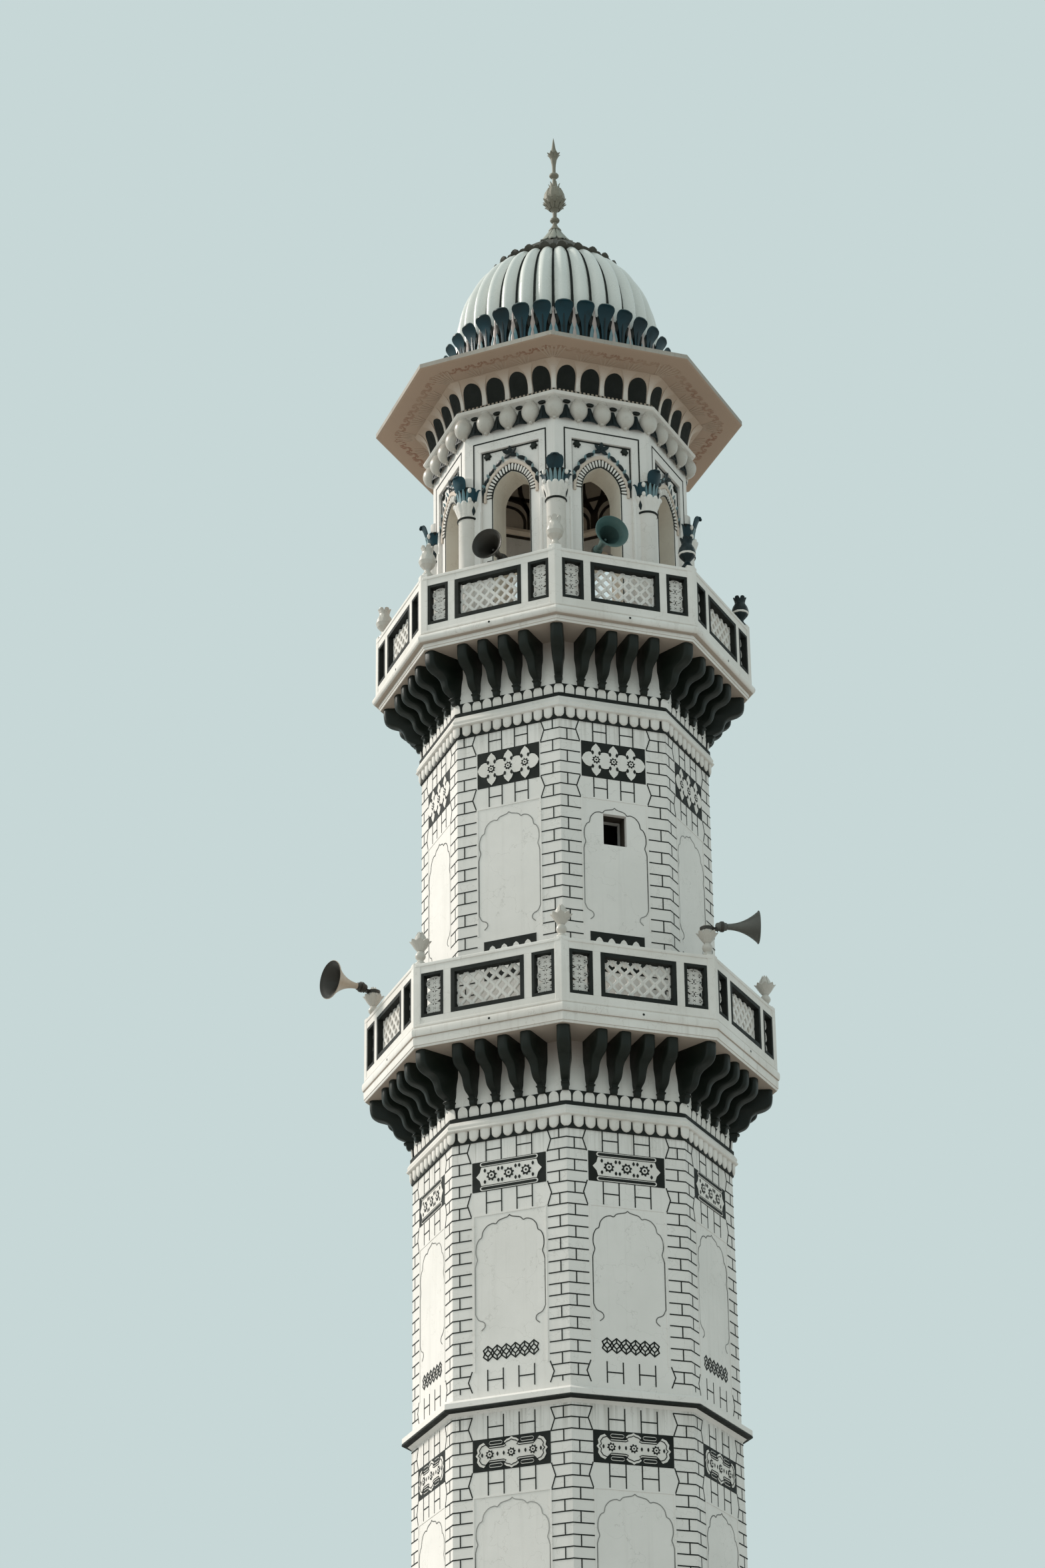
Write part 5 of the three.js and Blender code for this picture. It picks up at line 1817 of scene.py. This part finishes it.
def rail_bracket(throat, axis):
    """A foot plate on the rail with an arm back under the driver and a strap round it."""
    b = UPPER_BALCONY
    foot = b["parapet"] * FLAT - PARAPET_THICK / 2 - throat
    rail = b["rail"] + 0.008 - axis
    path = [(-0.04, -0.075), (-0.02, -0.115), (0.06, rail + 0.020)]
    path += [(foot - 0.06, rail + 0.010), (foot + 0.05, rail + 0.010)]
    arm = moved(strand(curve_through(path, 3), 0.020, 0.035, 0.07), turn(-90))
    strap = moved(hoop(0.072, 0.078, -0.11, -0.07), LAID)
    bolts = [bolt(x, -foot, rail + 0.018, rail + 0.032) for x in (-0.018, 0.018)]
    return painted(smoothed(joined([arm, strap] + bolts), 30), HORN_DARK)


def bud_bracket():
    """Two flat straps from the driver back to a clamp round the bud, held by two bolts."""
    plan = [(-0.030, 0.02), (0.030, 0.02), (0.045, 0.22), (-0.045, 0.22)]
    pieces = [prism(plan, level, level + 0.006) for level in (-0.050, -0.030)]
    pieces.append(moved(hoop(0.092, 0.098, -0.066, -0.020), shift(0, BUD_REACH, 0)))
    pieces.append(moved(hoop(0.070, 0.076, -0.080, -0.040), LAID))
    pieces += [bolt(x, 0.12, -0.062, -0.016) for x in (-0.03, 0.03)]
    return painted(smoothed(joined(pieces), 30), HORN_DARK)


HORN_RIM = 2.640  # how far the mouths of the upper horns stand from the tower's axis
BUD_REACH = 0.27  # from the throat of a lower horn back to the axis of its bud
CLAMP_RISE = 0.455  # from the foot of that bud up to the horn's axis


def horns():
    """Two horns on the rail of the upper parapet and two on buds of the lower one."""
    for name, bearing, across, mouth, length, axis, finish, deep, slot in (
        ("horn_1", -45, 0.030, 0.228, 0.43, 27.04, HORN_DARK, HORN_DARK, "horn_grey"),
        # horn_2's throat is painted darker as shade.
        ("horn_2", 0, -0.215, 0.245, 0.52, 27.13, HORN_TEAL, HORN_THROAT_SHADE, "horn_teal"),
    ):
        throat = HORN_RIM - length
        whole = joined([horn(mouth, length, finish, finish, deep), rail_bracket(throat, axis)])
        moved(whole, turn(bearing) @ shift(across, -throat, axis))
        place(whole, name + "_shell", [name])
    b = LOWER_BALCONY
    for name, post, bearing, mouth, length, outside, inside in (
        ("horn_3", -112.5, -75, 0.275, 0.45, HORN_CREAM, HORN_DARK),
        ("horn_4", 22.5, 74, 0.225, 0.44, HORN_GREY, HORN_GREY),
    ):
        whole = joined([horn(mouth, length, outside, inside, inside), bud_bracket()])
        seat = turn(post) @ Vector((0, BUD_SET_IN - b["parapet"], b["post_top"] + CLAMP_RISE))
        moved(whole, Matrix.Translation(seat) @ turn(bearing) @ shift(0, -BUD_REACH, 0))
        place(whole, name + "_shell", [name])


# ---- Everything in its place

dress_shaft()
dress_balcony(LOWER_BALCONY)
dress_balcony(UPPER_BALCONY)
lantern_walls()
frame_lines()
arch_surround()
garland()
spandrel_flowers()
columns()
capitals()
lantern_cornice()
cove_and_eave()
lantern_inside()
dome()
leaf_ring()
lotus_cap()
finial()
horns()


# ---- Floor, light and camera


def floor():
    """A wide pale floor under the tower, on stage only."""
    start()
    bpy.ops.mesh.primitive_circle_add(vertices=96, radius=120, fill_type="NGON", location=(0, 0, -0.002))
    ground = settle(bpy.context.object)
    ground.name = "pale_floor"
    pale = bpy.data.materials.new("pale floor")
    pale.use_nodes = True
    shader = pale.node_tree.nodes["Principled BSDF"]
    shader.inputs["Base Color"].default_value = (0.41, 0.40, 0.385, 1)
    shader.inputs["Roughness"].default_value = 0.9
    painted(ground, pale)


def light():
    """A pale even sky, a low warm key from behind on the left and a faint soft fill."""
    scene = bpy.context.scene
    scene.view_settings.view_transform = "Standard"
    scene.view_settings.look = "None"
    world = bpy.data.worlds.new("pale sky")
    scene.world = world
    world.use_nodes = True
    sky = world.node_tree.nodes["Background"]
    sky.inputs["Color"].default_value = (0.571, 0.68, 0.68, 1)
    sky.inputs["Strength"].default_value = 1.0
    for name, bearing, rise, strength, softness, colour in (
        ("key", -128.0, 34.0, 3.0, 12.0, (1.0, 0.95, 0.88)),
        ("fill", -75.0, 30.0, 0.30, 60.0, (1.0, 0.96, 0.90)),
    ):
        lamp = bpy.data.lights.new(name, "SUN")
        lamp.energy = strength
        lamp.angle = math.radians(softness)
        lamp.color = colour
        holder = bpy.data.objects.new(name, lamp)
        scene.collection.objects.link(holder)
        b, r = math.radians(bearing), math.radians(rise)
        towards = Vector((math.sin(b) * math.cos(r), -math.cos(b) * math.cos(r), math.sin(r)))
        holder.rotation_euler = towards.to_track_quat("Z", "Y").to_euler()


EYE_DISTANCE, EYE_HEIGHT = 48.5, 1.6
VIEW_BEARING = -20.7635  # where the eye stands about the tower
VIEW_AIM = (-0.7331, 25.1423, -0.7288)  # turned aside, up, and tilted, from a level look at the axis


def camera():
    """The street view: from the height of the eye, looking steeply up."""
    yaw, pitch, roll = (math.radians(a) for a in VIEW_AIM)
    forward = Vector((math.sin(yaw) * math.cos(pitch), math.cos(yaw) * math.cos(pitch), math.sin(pitch)))
    right = Vector((math.cos(yaw), -math.sin(yaw), 0))
    up = right.cross(forward)
    level = right * math.cos(roll) + up * math.sin(roll)
    rise = up * math.cos(roll) - right * math.sin(roll)
    aim = Matrix((level, rise, -forward)).transposed().to_4x4()
    aim.translation = Vector((0, -EYE_DISTANCE, EYE_HEIGHT))
    lens_data = bpy.data.cameras.new("street_view")
    lens_data.sensor_fit = "HORIZONTAL"
    lens_data.sensor_width = 36.0
    lens_data.lens = 126.42
    lens_data.clip_end = 500
    holder = bpy.data.objects.new("street_view", lens_data)
    bpy.context.scene.collection.objects.link(holder)
    holder.matrix_world = turn(VIEW_BEARING) @ aim
    bpy.context.scene.camera = holder


floor()
light()
camera()
